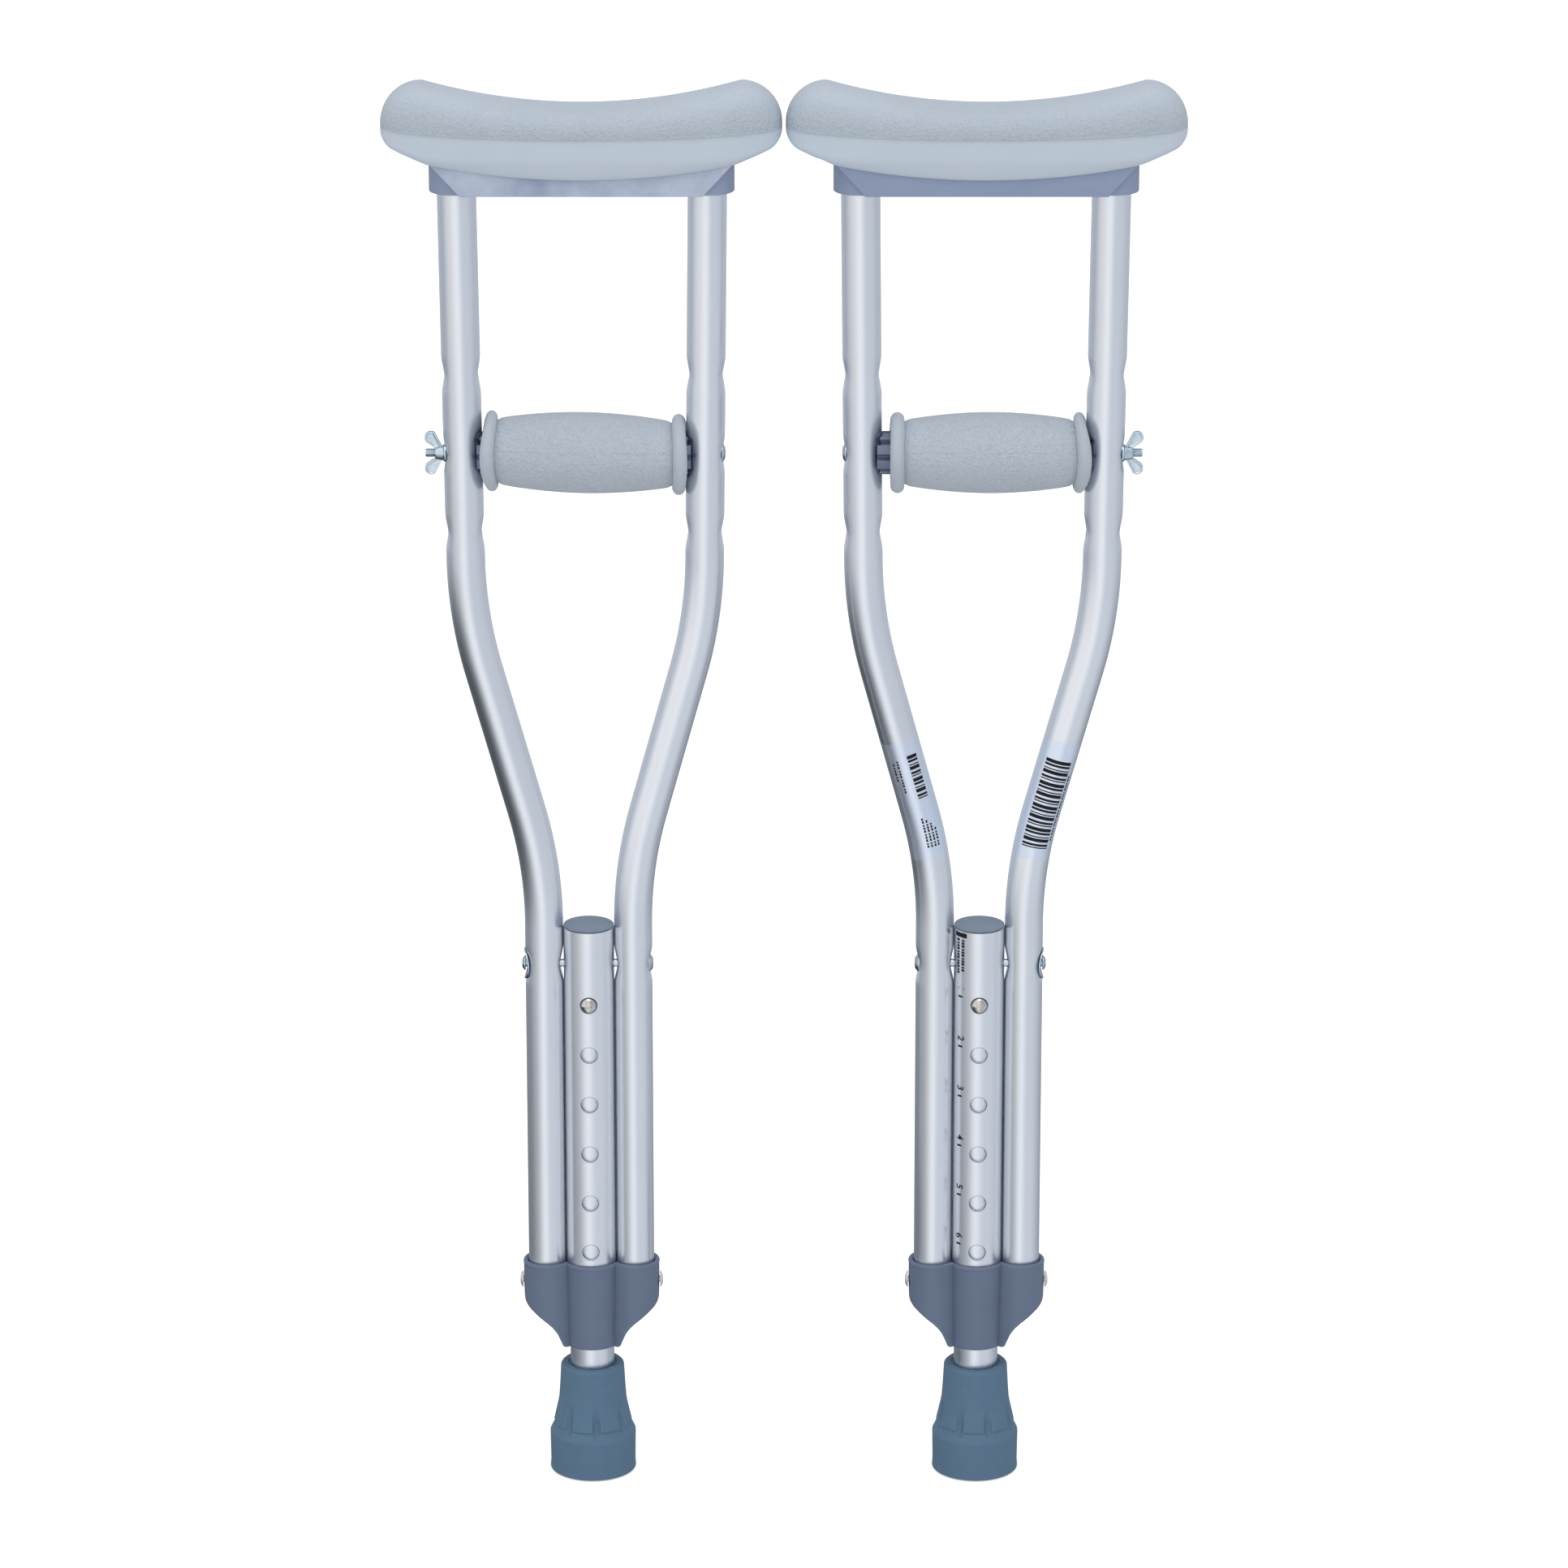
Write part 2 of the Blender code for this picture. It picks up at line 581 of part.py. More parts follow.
def underarm_pad():
    """Rounded cross-sections from end to end."""
    half = [PAD_HALF_LENGTH * math.sin(math.pi / 2 * i / 10) for i in range(10)]
    half.append(PAD_HALF_LENGTH - 0.3 * MM)
    stations = [-x for x in reversed(half[1:])] + half
    segments = 12
    rings = []
    for x in stations:
        top, bottom = pad_top(x), pad_bottom(x)
        depth = PAD_HALF_DEPTH * (1 - abs(x / PAD_HALF_LENGTH) ** 5) ** (1 / 3)
        ring = []
        for i in range(segments):
            angle = math.tau * (i + 0.5) / segments
            c, s = math.cos(angle), math.sin(angle)
            squareness = 0.6 if s > 0 else 0.4
            y = depth * math.copysign(abs(c) ** squareness, c)
            z = (top + bottom) / 2 + (top - bottom) / 2 * math.copysign(abs(s) ** squareness, s)
            ring.append((x, y, z))
        rings.append(ring)
    return loft(rings)


def pad_pocket():
    """Cutter for the pocket that takes the cradle."""
    outline = rounded_box(POCKET_HALF_LENGTH, PLATE_HALF_DEPTH + GAP, MM, 1)
    return prism(outline, "Z", PAD_BOTTOM - 20 * MM, CRADLE_TOP + GAP)


# ---------------------------------------------------------------- leg

def extension_tube():
    return lathe([(EXTENSION_RADIUS, EXTENSION_TOP), (EXTENSION_RADIUS, EXTENSION_BOTTOM),
                  (EXTENSION_BORE, EXTENSION_BOTTOM), (EXTENSION_BORE, EXTENSION_TOP)],
                 TUBE_SEGMENTS)


def rubber_tip():
    """Ferrule: rounded lip, slim neck that flares, and a wide foot."""
    foot = TIP_FOOT_RADIUS
    ledge = TIP_FOOT_HEIGHT
    profile = [(0, 0), (foot - 0.6 * MM, 0), (foot, 0.6 * MM), (foot, ledge),
               (foot - 1.6 * MM, ledge + 3.5 * MM), (foot - 2.5 * MM, ledge + 5.0 * MM),
               (16.6 * MM, 34.5 * MM), (15.5 * MM, TIP_TOP - 2.0 * MM), (14.0 * MM, TIP_TOP),
               (TIP_BORE + 0.8 * MM, TIP_TOP), (TIP_BORE, TIP_TOP - 1.5 * MM),
               (TIP_BORE, TIP_FLOOR), (0, TIP_FLOOR)]
    return lathe(profile, TUBE_SEGMENTS)


def tip_washer():
    radius = TIP_BORE - GAP
    low = TIP_FLOOR + GAP
    high = low + WASHER_IN_TIP
    return lathe([(0, low), (radius, low), (radius, high), (0, high)], TUBE_SEGMENTS)


def snap_spring():
    """V-shaped leaf: its front leg carries the button and its back leg rests on the far wall."""
    half_width = 3.5 * MM
    thickness = 0.8 * MM
    front, back = -8.5 * MM, 8.5 * MM
    top, knee, fold = 250 * MM, 236 * MM, 200 * MM
    bend_radius = 2.5 * MM
    outer = [(front, top), (front, knee), *arc((0, fold), bend_radius, 180, 360, 6),
             (back, knee)]
    inner_radius = bend_radius - thickness
    inner = [(back - thickness, knee), *arc((0, fold), inner_radius, 360, 180, 6),
             (front + thickness, knee), (front + thickness, top)]
    return prism(outer + inner, "X", -half_width, half_width)


def snap_button():
    """Domed pin that stands out through both tubes."""
    radius = HOLE_RADIUS - GAP
    base, shoulder, crown = -8.8 * MM, -12.4 * MM, -14.4 * MM
    profile = [(0, base), (radius, base), (radius, shoulder),
               (radius * 0.87, shoulder - 1.0 * MM), (radius * 0.5, shoulder - 1.75 * MM),
               (0, crown)]
    return lathe(profile, ROUND_SEGMENTS, "Y", (0, 0, TOP_HOLE_Z))


# ---------------------------------------------------------------- handgrip

def grip_bolt():
    """Bolt with a low round head on the crutch's inner side."""
    head, height = BOLT_HEAD_RADIUS, BOLT_HEAD_HEIGHT
    seat = -BOLT_HEAD_SEAT
    profile = [(0, seat - height), (head * 0.7, seat - height * 0.78), (head, seat - height * 0.17),
               (head, seat), (BOLT_RADIUS, seat), (BOLT_RADIUS, BOLT_END - 0.4 * MM),
               (BOLT_RADIUS - 0.4 * MM, BOLT_END), (0, BOLT_END)]
    return lathe(profile, ROUND_SEGMENTS, "X", (0, 0, GRIP_Z))


def grip_core():
    """Ribbed tube round the bolt."""
    valley = CORE_VALLEY_RADIUS
    bore = BOLT_RADIUS + GAP
    outline = []
    for i in range(CORE_RIBS):
        for share, radius in ((0.0, valley), (0.28, CORE_RADIUS), (0.72, CORE_RADIUS)):
            angle = math.tau * (i + share) / CORE_RIBS
            outline.append((radius * math.cos(angle), radius * math.sin(angle)))
    count = len(outline)
    hole = [(bore * math.cos(math.tau * i / count), bore * math.sin(math.tau * i / count))
            for i in range(count)]
    ends = (-CORE_HALF_LENGTH, CORE_HALF_LENGTH)
    outer, inner = [[[(end, y, GRIP_Z + z) for y, z in loop] for end in ends]
                    for loop in (outline, hole)]
    return pipe(outer, inner)


def grip_sleeve(inner_end, outer_end):
    """Barrel that swells in the middle, with a round flange at each end."""
    bore = CORE_RADIUS + GAP
    half_flange = SLEEVE_FLANGE / 2
    barrel = outer_end - inner_end - 2 * SLEEVE_FLANGE
    profile = [(bore, inner_end)]
    for start in (inner_end, outer_end - SLEEVE_FLANGE):
        flange = arc((start + half_flange, SLEEVE_RADIUS - half_flange), half_flange, 180, 0, 3)
        profile += [(radius, height) for height, radius in flange]
        if start == inner_end:
            profile += [(SLEEVE_NECK_RADIUS + (SLEEVE_RADIUS - SLEEVE_NECK_RADIUS)
                         * math.sin(math.pi * t), start + SLEEVE_FLANGE + barrel * t)
                        for t in (0.0, 0.2, 0.5, 0.8, 1.0)]
    profile.append((bore, outer_end))
    return lathe(profile, TUBE_SEGMENTS, "X", (0, 0, GRIP_Z))


def grip_saddles():
    """Cutter for the hollows in the grip's ends."""
    reach = SLEEVE_RADIUS + 5 * MM
    offset = tube_axis(GRIP_Z)[0]
    return rods([((side * offset, 0, 0), SADDLE_RADIUS, GRIP_Z - reach, GRIP_Z + reach)
                 for side in (1, -1)], "Z", 16)


def nut_hub():
    """Threaded hub: a flared base, a tapering body and a bore that clears the bolt."""
    bore = BOLT_RADIUS + 0.1 * MM
    rim, top = NUT_SEAT + NUT_RIM, NUT_SEAT + NUT_HEIGHT
    profile = [(bore, NUT_SEAT), (NUT_RIM_RADIUS, NUT_SEAT), (NUT_RIM_RADIUS, rim),
               (NUT_RIM_RADIUS - 0.7 * MM, rim + 0.5 * MM), (NUT_RIM_RADIUS - 1.2 * MM, top),
               (bore, top)]
    return lathe(profile, ROUND_SEGMENTS, "X", (0, 0, GRIP_Z))


def nut_wing(direction):
    """Rounded wing that leans out at 45 degrees from the hub's base."""
    inside_hub = NUT_SEAT + NUT_RIM / 2
    root = [(NUT_SEAT + NUT_HEIGHT - 1.4 * MM, 2.6 * MM), (inside_hub, 2.6 * MM),
            (inside_hub, 3.6 * MM)]
    tip = arc((NUT_SEAT + WING_TIP[0], WING_TIP[1]), WING_TIP_RADIUS, 135, -60, 8)
    outline = [(u, GRIP_Z + direction * height) for u, height in root + tip]
    return prism(outline, "Y", -WING_HALF_THICKNESS, WING_HALF_THICKNESS)


# ---------------------------------------------------------------- assembly

def build_frame(crutch, materials):
    """The tubes, collar, cradle and pad of one crutch."""
    metal, plastic = materials["aluminium"], materials["blue_grey_plastic"]
    for name, direction in (("outer", 1), ("inner", -1)):
        tube = crutch.add(f"{name}_side_tube", side_tube(direction), metal)
        holes = crutch.cutter(f"{name}_side_tube_holes", side_tube_holes(direction))
        combine(tube, holes, "DIFFERENCE")
        crutch.add(f"collar_rivet_{name}", collar_rivet(direction), metal)

    rivet_hole = crutch.cutter("rivet_hole", rods([((0, 0, RIVET_Z), RIVET_RADIUS + GAP,
                                                    -20 * MM, 20 * MM)], "X", HOLE_SEGMENTS))
    tube = crutch.add("centre_tube", centre_tube(), metal)
    combine(tube, crutch.cutter("button_holes", button_holes(HOLE_COUNT)), "DIFFERENCE")
    combine(tube, rivet_hole, "DIFFERENCE")
    crutch.add("centre_tube_cap", centre_tube_cap(), plastic)
    crutch.add("frame_rivet", frame_rivet(), materials["zinc_steel"])
    crutch.add("frame_rivet_washer", frame_rivet_washer(), materials["zinc_steel"])

    shell = crutch.add("collar", collar(), plastic)
    combine(shell, crutch.cutter("collar_bore", collar_bore()), "DIFFERENCE")
    for name, direction in (("outer", 1), ("inner", -1)):
        socket = crutch.cutter(f"collar_{name}_socket", collar_socket(direction))
        combine(shell, socket, "DIFFERENCE")
    combine(shell, crutch.cutter("collar_rivet_holes", collar_rivet_holes()), "DIFFERENCE")

    cradle = crutch.add("pad_cradle", cradle_body(), plastic)
    combine(cradle, crutch.cutter("cradle_plate", cradle_plate()), "UNION")
    combine(cradle, crutch.cutter("cradle_sockets", cradle_sockets()), "DIFFERENCE")
    pad = crutch.add("underarm_pad", underarm_pad(), materials["pad_foam"])
    combine(pad, crutch.cutter("pad_pocket", pad_pocket()), "DIFFERENCE")


def build_leg(crutch, materials):
    """The telescoping leg with its tip and its snap button."""
    origin = (0, 0, TOP_HOLE_Z)
    leg = crutch.add("extension_tube", extension_tube(), materials["aluminium"], origin)
    combine(leg, crutch.cutter("extension_hole", button_holes(1)), "DIFFERENCE")
    crutch.add("rubber_tip", rubber_tip(), materials["tip_rubber"])
    crutch.add("tip_washer", tip_washer(), materials["zinc_steel"])
    crutch.add("snap_spring", snap_spring(), materials["spring_steel"], origin)
    crutch.add("snap_button", snap_button(), materials["chrome"], origin)


def build_grip(crutch, materials):
    """The handgrip on its bolt, with its wing nut."""
    origin = (0, 0, GRIP_Z)
    crutch.add("grip_bolt", grip_bolt(), materials["zinc_steel"], origin)
    core = crutch.add("grip_core", grip_core(), materials["blue_grey_plastic"], origin)
    sleeve = crutch.add("grip_sleeve", grip_sleeve(*SLEEVE_ENDS[crutch.name]),
                        materials["grip_foam"], origin)
    saddles = crutch.cutter("grip_saddles", grip_saddles())
    combine(core, saddles, "DIFFERENCE")
    combine(sleeve, saddles, "DIFFERENCE")
    nut = crutch.add("wing_nut", nut_hub(), materials["zinc_steel"], origin)
    for name, direction in (("upper", 1), ("lower", -1)):
        wing = crutch.cutter(f"{name}_wing", nut_wing(direction))
        combine(nut, wing, "UNION")


def main():
    clear_scene()
    materials = make_materials()
    for name, side in (("left", -1), ("right", 1)):
        crutch = Crutch(name, side)
        build_frame(crutch, materials)
        build_leg(crutch, materials)
        build_grip(crutch, materials)


main()
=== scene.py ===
"""The looks of a pair of underarm crutches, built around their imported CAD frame.

Shapes are drawn in millimetres in each crutch's own coordinates: u points away from the other
crutch, y points to the back and z points up. Crutch.add turns them into the frame's metres and
mirrors the left crutch. Places and sizes come from the frame's boxes; the constants below are
the shapes inside those boxes.
"""
import math

import bmesh
import bpy
import numpy as np
from mathutils import Matrix, Vector


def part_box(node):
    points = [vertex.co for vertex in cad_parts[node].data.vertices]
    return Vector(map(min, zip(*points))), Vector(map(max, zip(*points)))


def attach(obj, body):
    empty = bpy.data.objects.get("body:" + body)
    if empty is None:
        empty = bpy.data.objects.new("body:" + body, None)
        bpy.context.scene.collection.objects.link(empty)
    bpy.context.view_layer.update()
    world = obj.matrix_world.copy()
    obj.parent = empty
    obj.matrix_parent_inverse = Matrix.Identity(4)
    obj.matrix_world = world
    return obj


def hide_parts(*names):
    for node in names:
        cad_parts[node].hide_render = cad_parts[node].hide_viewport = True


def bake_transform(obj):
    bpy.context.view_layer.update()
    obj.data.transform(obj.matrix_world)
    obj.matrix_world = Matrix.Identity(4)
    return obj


MM = 0.001

# Side tubes: axis corners (u, z), leans and bend radii. Side and centre tubes are drawn a little
# larger than their CAD solids, so that no light shows between them.
SIDE_RADIUS = 9.14
SIDE_WALL = 1.3
CENTRE_SWELL = 0.14
SPREAD_CORNER = (21.3, 310.2)
SPREAD_ANGLE = math.radians(15.5)
SPREAD_RADIUS = 210.0
RETURN_CORNER = (55.9, 435.0)
RETURN_ANGLE = math.radians(0.6)
RETURN_RADIUS = 215.0

# Dents around the bolt holes and the frame rivet
DENT_HALF_LENGTH = 9.0
GRIP_DENT = 1.5
RIVET_DENT = 1.9
GRIP_PITCH = 38.1
BOLT_HOLE_RADIUS = 2.6

# Height adjustment
HOLE_PITCH = 25.4
HOLE_COUNT = 6
HOLE_RADIUS = 4.1
RIVET_HOLE_RADIUS = 2.4
TUBE_WALL = 1.1

# Collar: (height above its bottom, half width) of its front outline
COLLAR_OUTLINE = [(0.0, 13.4), (1.2, 14.2), (4.0, 15.2), (8.0, 16.9), (11.0, 19.0), (13.3, 21.3),
                  (20.9, 31.2), (22.6, 32.7), (24.4, 33.3), (26.5, 33.5)]
CENTRE_LOBE = 14.6
SIDE_LOBE = 12.2

# Pad
PAD_DEPTH = 19.5
PAD_SADDLE = 680.0
PAD_BOTTOM = 648.1
PAD_SMILE = 7.0
PAD_END_SLOPE = 0.40
PAD_CORNER = 6.0
PAD_END_RADIUS = 19.0
PAD_END_RISE = 11.0
GRAIN_LINE = 667.5
GRAIN_LINE_RISE = 2.2
SMILE_HALF = 71.0
POCKET_ENDS = {"left": (-72.5, 72.5), "right": (-79.0, 74.0)}

# Handgrip: how far each sleeve end bulges over its tube, and how much the sleeve tilts
SLEEVE_BULGES = {"left": (1.2, 2.7), "right": (0.3, 3.0)}
SLEEVE_TILT = {"left": 0.020, "right": 0.0}
SADDLE_RADIUS = 9.8

# Foam grain: size of one cell, in metres
GRAIN_CELL = 0.0014

# Rubber tip: place of one groove, in degrees outward from the front
TIP_GROOVE_AT = {"left": -7.0, "right": 19.0}
TIP_GROOVES = 8

# Studio: (azimuth, brightness) of the zones that the upper and lower tubes reflect
UPPER_ZONES = [(-180, 0.60), (-130, 0.62), (-90, 0.52), (-62, 1.05), (-42, 1.90), (-22, 2.10),
               (-6, 1.60), (10, 0.72), (32, 0.62), (60, 0.70), (100, 0.60), (135, 0.58), (180, 0.60)]
LOWER_ZONES = [(-180, 0.25), (-130, 0.06), (-90, 0.04), (-58, 0.06), (-40, 0.30), (-22, 0.84),
               (-6, 1.12), (12, 0.72), (35, 0.74), (60, 0.78), (90, 0.58), (130, 0.30), (180, 0.25)]
LOWER_ZONE_SLOPES = (-0.28, -0.35)
GLOW = 0.72
GLOW_FROM_FRONT = 0.50
FLOOR_GLOW = 0.45

# Heights that the light and the camera face
LIGHT_AIM = 0.35
CAMERA_AIM = 0.351
CAMERA_DISTANCE = 3.3
CAMERA_ELEVATION = math.radians(18)
CAMERA_LENS = 159.4


# ---------------------------------------------------------------- shapes as (points, faces)

def skin(rings, closed=False):
    """A skin over rings of points; closed joins the last ring to the first, else both are capped."""
    rings = np.asarray(rings, float)
    rows, around = rings.shape[:2]
    index = np.arange(rows * around).reshape(rows, around)
    lower = index if closed else index[:-1]
    upper = np.roll(index, -1, axis=0) if closed else index[1:]
    quads = np.stack([lower, np.roll(lower, -1, axis=1), np.roll(upper, -1, axis=1), upper], axis=-1)
    faces = quads.reshape(-1, 4).tolist()
    if not closed:
        faces += [index[0].tolist(), index[-1].tolist()]
    return rings.reshape(-1, 3), faces


def join(*shapes):
    """Several shapes as one."""
    points, faces, start = [], [], 0
    for shape_points, shape_faces in shapes:
        points.append(shape_points)
        faces += [[i + start for i in face] for face in shape_faces]
        start += len(shape_points)
    return np.concatenate(points), faces


def move(shape, offset):
    """A shape shifted by offset."""
    return shape[0] + np.asarray(offset, float), shape[1]


def turned(profile, segments, axis="Z", centre=(0, 0, 0), closed=False):
    """Turn an outline of (radius, height) points round an axis; a closed outline leaves a bore."""
    radii, heights = np.array(profile, float).T
    angles = np.linspace(0, math.tau, segments, endpoint=False)
    across, up = np.outer(radii, np.cos(angles)), np.outer(radii, np.sin(angles))
    along = np.repeat(heights[:, None], segments, axis=1)
    order = {"Z": (across, up, along), "X": (along, across, up), "Y": (across, along, up)}[axis]
    return move(skin(np.stack(order, axis=-1), closed), centre)


def rod(radius, low, high, axis, centre, segments=48):
    """A plain round rod, used as a cutter."""
    return turned([(0, low), (radius, low), (radius, high), (0, high)], segments, axis, centre)


def fillet(corners, steps=5):
    """Points of a closed outline of (a, b, radius) corners, each rounded with its radius."""
    points = []
    for i, (a, b, radius) in enumerate(corners):
        here = Vector((a, b))
        if radius == 0:
            points.append((a, b))
            continue
        before = Vector(corners[i - 1][:2]) - here
        after = Vector(corners[(i + 1) % len(corners)][:2]) - here
        half = before.angle(after) / 2
        reach = min(radius / math.tan(half), before.length * 0.48, after.length * 0.48)
        middle = (before.normalized() + after.normalized()).normalized()
        centre = here + middle * (reach / math.cos(half))
        start = here + before.normalized() * reach - centre
        end = here + after.normalized() * reach - centre
        sweep = end.angle_signed(start)
        for step in range(steps + 1):
            angle = sweep * step / steps
            turn = Matrix.Rotation(angle, 2)
            points.append(tuple(centre + turn @ start))
    return points


def arc(centre, radius, start, end, steps):
    """Points along an arc from start to end, in degrees."""
    angles = np.radians(np.linspace(start, end, steps + 1))
    return [(centre[0] + radius * math.cos(a), centre[1] + radius * math.sin(a)) for a in angles]


def ring(angles, reach, z):
    """Points round the upright axis at height z, reach away from it."""
    return np.stack([reach * np.cos(angles), reach * np.sin(angles), np.full_like(angles, z)], axis=-1)


def prism(outline, axis, low, high):
    """Extrude a flat outline along axis; its two coordinates fill the other two axes."""
    flat = np.array(outline, float)
    rings = [np.insert(flat, "XYZ".index(axis), depth, axis=1) for depth in (low, high)]
    return skin(rings)


def smooth_max(values, blend):
    """The largest of several arrays, with a soft change-over blend wide."""
    stack = np.stack(values) / blend
    top = stack.max(axis=0)
    return (top + np.log(np.exp(stack - top).sum(axis=0))) * blend


# ---------------------------------------------------------------- objects

def make_object(name, shape):
    """A welded mesh object with outward normals, in the shape's own units."""
    mesh = bpy.data.meshes.new(name)
    mesh.from_pydata(shape[0].tolist(), [], shape[1])
    bm = bmesh.new()
    bm.from_mesh(mesh)
    bmesh.ops.remove_doubles(bm, verts=bm.verts, dist=1e-4)
    bmesh.ops.recalc_face_normals(bm, faces=bm.faces)
    bm.to_mesh(mesh)
    bm.free()
    obj = bpy.data.objects.new(name, mesh)
    bpy.context.collection.objects.link(obj)
    return obj


def bake(obj):
    """Replace the mesh by what its modifiers make of it."""
    bpy.context.view_layer.update()
    evaluated = obj.evaluated_get(bpy.context.evaluated_depsgraph_get())
    mesh = bpy.data.meshes.new_from_object(evaluated)
    obj.modifiers.clear()
    obj.data = mesh


def cut(obj, shape):
    """Take a shape away from an object that is still in millimetres."""
    cutter = make_object("cutter", shape)
    modifier = obj.modifiers.new("cut", "BOOLEAN")
    modifier.object = cutter
    modifier.operation = "DIFFERENCE"
    bake(obj)
    bpy.data.objects.remove(cutter)


def bevel(obj, width, segments=3, angle=30):
    """Round the edges sharper than angle degrees."""
    modifier = obj.modifiers.new("bevel", "BEVEL")
    modifier.width = width
    modifier.segments = segments
    modifier.angle_limit = math.radians(angle)
    modifier.use_clamp_overlap = True
    bake(obj)


def points_of(obj):
    """The object's vertices as an array."""
    points = np.empty(len(obj.data.vertices) * 3)
    obj.data.vertices.foreach_get("co", points)
    return points.reshape(-1, 3)


def paint(obj, name, values):
    """Store one number or one vector per vertex, for the materials to read."""
    kind, key = ("FLOAT", "value") if values.ndim == 1 else ("FLOAT_VECTOR", "vector")
    attribute = obj.data.attributes.new(name, kind, "POINT")
    attribute.data.foreach_set(key, values.astype(np.float32).ravel())


def radial_normals(obj, radius):
    """Exact normals for the outer wall of a straight upright tube, also round its cut holes."""
    mesh = obj.data
    points = points_of(obj)
    corners = np.array([loop.vertex_index for loop in mesh.loops])
    normals = np.empty(len(corners) * 3)
    mesh.corner_normals.foreach_get("vector", normals)
    normals = normals.reshape(-1, 3)
    on_wall = np.abs(np.hypot(points[:, 0], points[:, 1]) - radius) < 0.02
    faces = np.concatenate([[p.index] * p.loop_total for p in mesh.polygons])
    face_normals = np.array([tuple(p.normal) for p in mesh.polygons])[faces]
    outward = points[corners] * (1, 1, 0) / radius
    use = on_wall[corners] & ((face_normals * outward).sum(axis=1) > 0.9)
    normals[use] = outward[use]
    mesh.normals_split_custom_set(normals.tolist())


class Crutch:
    """One crutch: its places in the frame, and its pieces."""

    def __init__(self, name, side, nodes, materials):
        self.name = name
        self.side = side
        self.nodes = nodes
        self.materials = materials
        low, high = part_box(f"{name}_centre_tube")
        self.axis = (low.x + high.x) / 2 / MM
        self.button_z = self.middle_z("snap_button")
        self.grip_z = self.middle_z("grip_core")
        self.rivet_z = self.middle_z("frame_rivet")

    def box(self, node):
        """Lowest and highest corner of a CAD node in this crutch's coordinates."""
        low, high = (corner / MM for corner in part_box(f"{self.name}_{node}"))
        ends = sorted(self.side * (corner.x - self.axis) for corner in (low, high))
        return Vector((ends[0], low.y, low.z)), Vector((ends[1], high.y, high.z))

    def middle_z(self, node):
        """Height of the middle of a CAD node."""
        low, high = self.box(node)
        return (low.z + high.z) / 2

    def add(self, name, obj, body, slot, *nodes, sharp=35, material=None):
        """Finish a piece: place it, give it a material and let it ride on its body, if any.

        The piece takes the place of the CAD nodes. Its material is the slot's unless named.
        """
        mesh = obj.data
        turn = Matrix.Diagonal((self.side * MM, MM, MM, 1))
        mesh.transform(Matrix.Translation((self.axis * MM, 0, 0)) @ turn)
        if self.side < 0:
            mesh.flip_normals()
        if not mesh.has_custom_normals:
            mesh.shade_smooth()
            mesh.set_sharp_from_angle(angle=math.radians(sharp))
        obj.name = mesh.name = f"{self.name}_{name}"
        mesh.materials.clear()
        mesh.materials.append(self.materials[material or slot])
        if body:
            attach(obj, f"{self.name}_{body}")
        if nodes:
            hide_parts(*(f"{self.name}_{node}" for node in nodes))
        return obj


# ---------------------------------------------------------------- side tubes

def bend(corner, angle_in, angle_out, radius, z):
    """Offset and lean of a filleted corner at height z, or None outside the bend."""
    tangent = radius * math.tan(abs(angle_out - angle_in) / 2)
    start = (corner[0] - tangent * math.sin(angle_in), corner[1] - tangent * math.cos(angle_in))
    end_z = corner[1] + tangent * math.cos(angle_out)
    if not start[1] <= z <= end_z:
        return None
    sign = 1 if angle_out > angle_in else -1
    lean = math.asin(math.sin(angle_in) + sign * (z - start[1]) / radius)
    return start[0] + sign * radius * (math.cos(angle_in) - math.cos(lean)), lean


def tube_axis(z):
    """Offset of a side tube's axis from the crutch axis, and its lean, at height z."""
    lower_bend = bend(SPREAD_CORNER, 0.0, SPREAD_ANGLE, SPREAD_RADIUS, z)
    upper_bend = bend(RETURN_CORNER, SPREAD_ANGLE, RETURN_ANGLE, RETURN_RADIUS, z)
    if lower_bend or upper_bend:
        return lower_bend or upper_bend
    if z < SPREAD_CORNER[1]:
        return SPREAD_CORNER[0], 0.0
    corner, lean = RETURN_CORNER, SPREAD_ANGLE if z < RETURN_CORNER[1] else RETURN_ANGLE
    return corner[0] + (z - corner[1]) * math.tan(lean), lean


def dent_depth(z, dents):
    """Depth of the dents at height z: a pinch with a rounded bottom and soft shoulders."""
    depth = 0.0
    for centre, deepest in dents:
        t = min(1.0, abs(z - centre) / DENT_HALF_LENGTH)
        pinch = 1 - math.sqrt(t * t + 0.03) / math.sqrt(1.03)
        depth += deepest * 1.12 * pinch ** 1.3
    return depth


def side_point(z, theta, radius, dents, direction):
    """A point on a side tube's wall; theta 0 faces away from the crutch axis."""
    offset, lean = tube_axis(z)
    reach = radius - dent_depth(z, dents) * np.cos(theta) ** 6
    across = reach * np.cos(theta)
    return np.stack([direction * (offset + across * math.cos(lean)), reach * np.sin(theta),
                     z - across * math.sin(lean)], axis=-1)


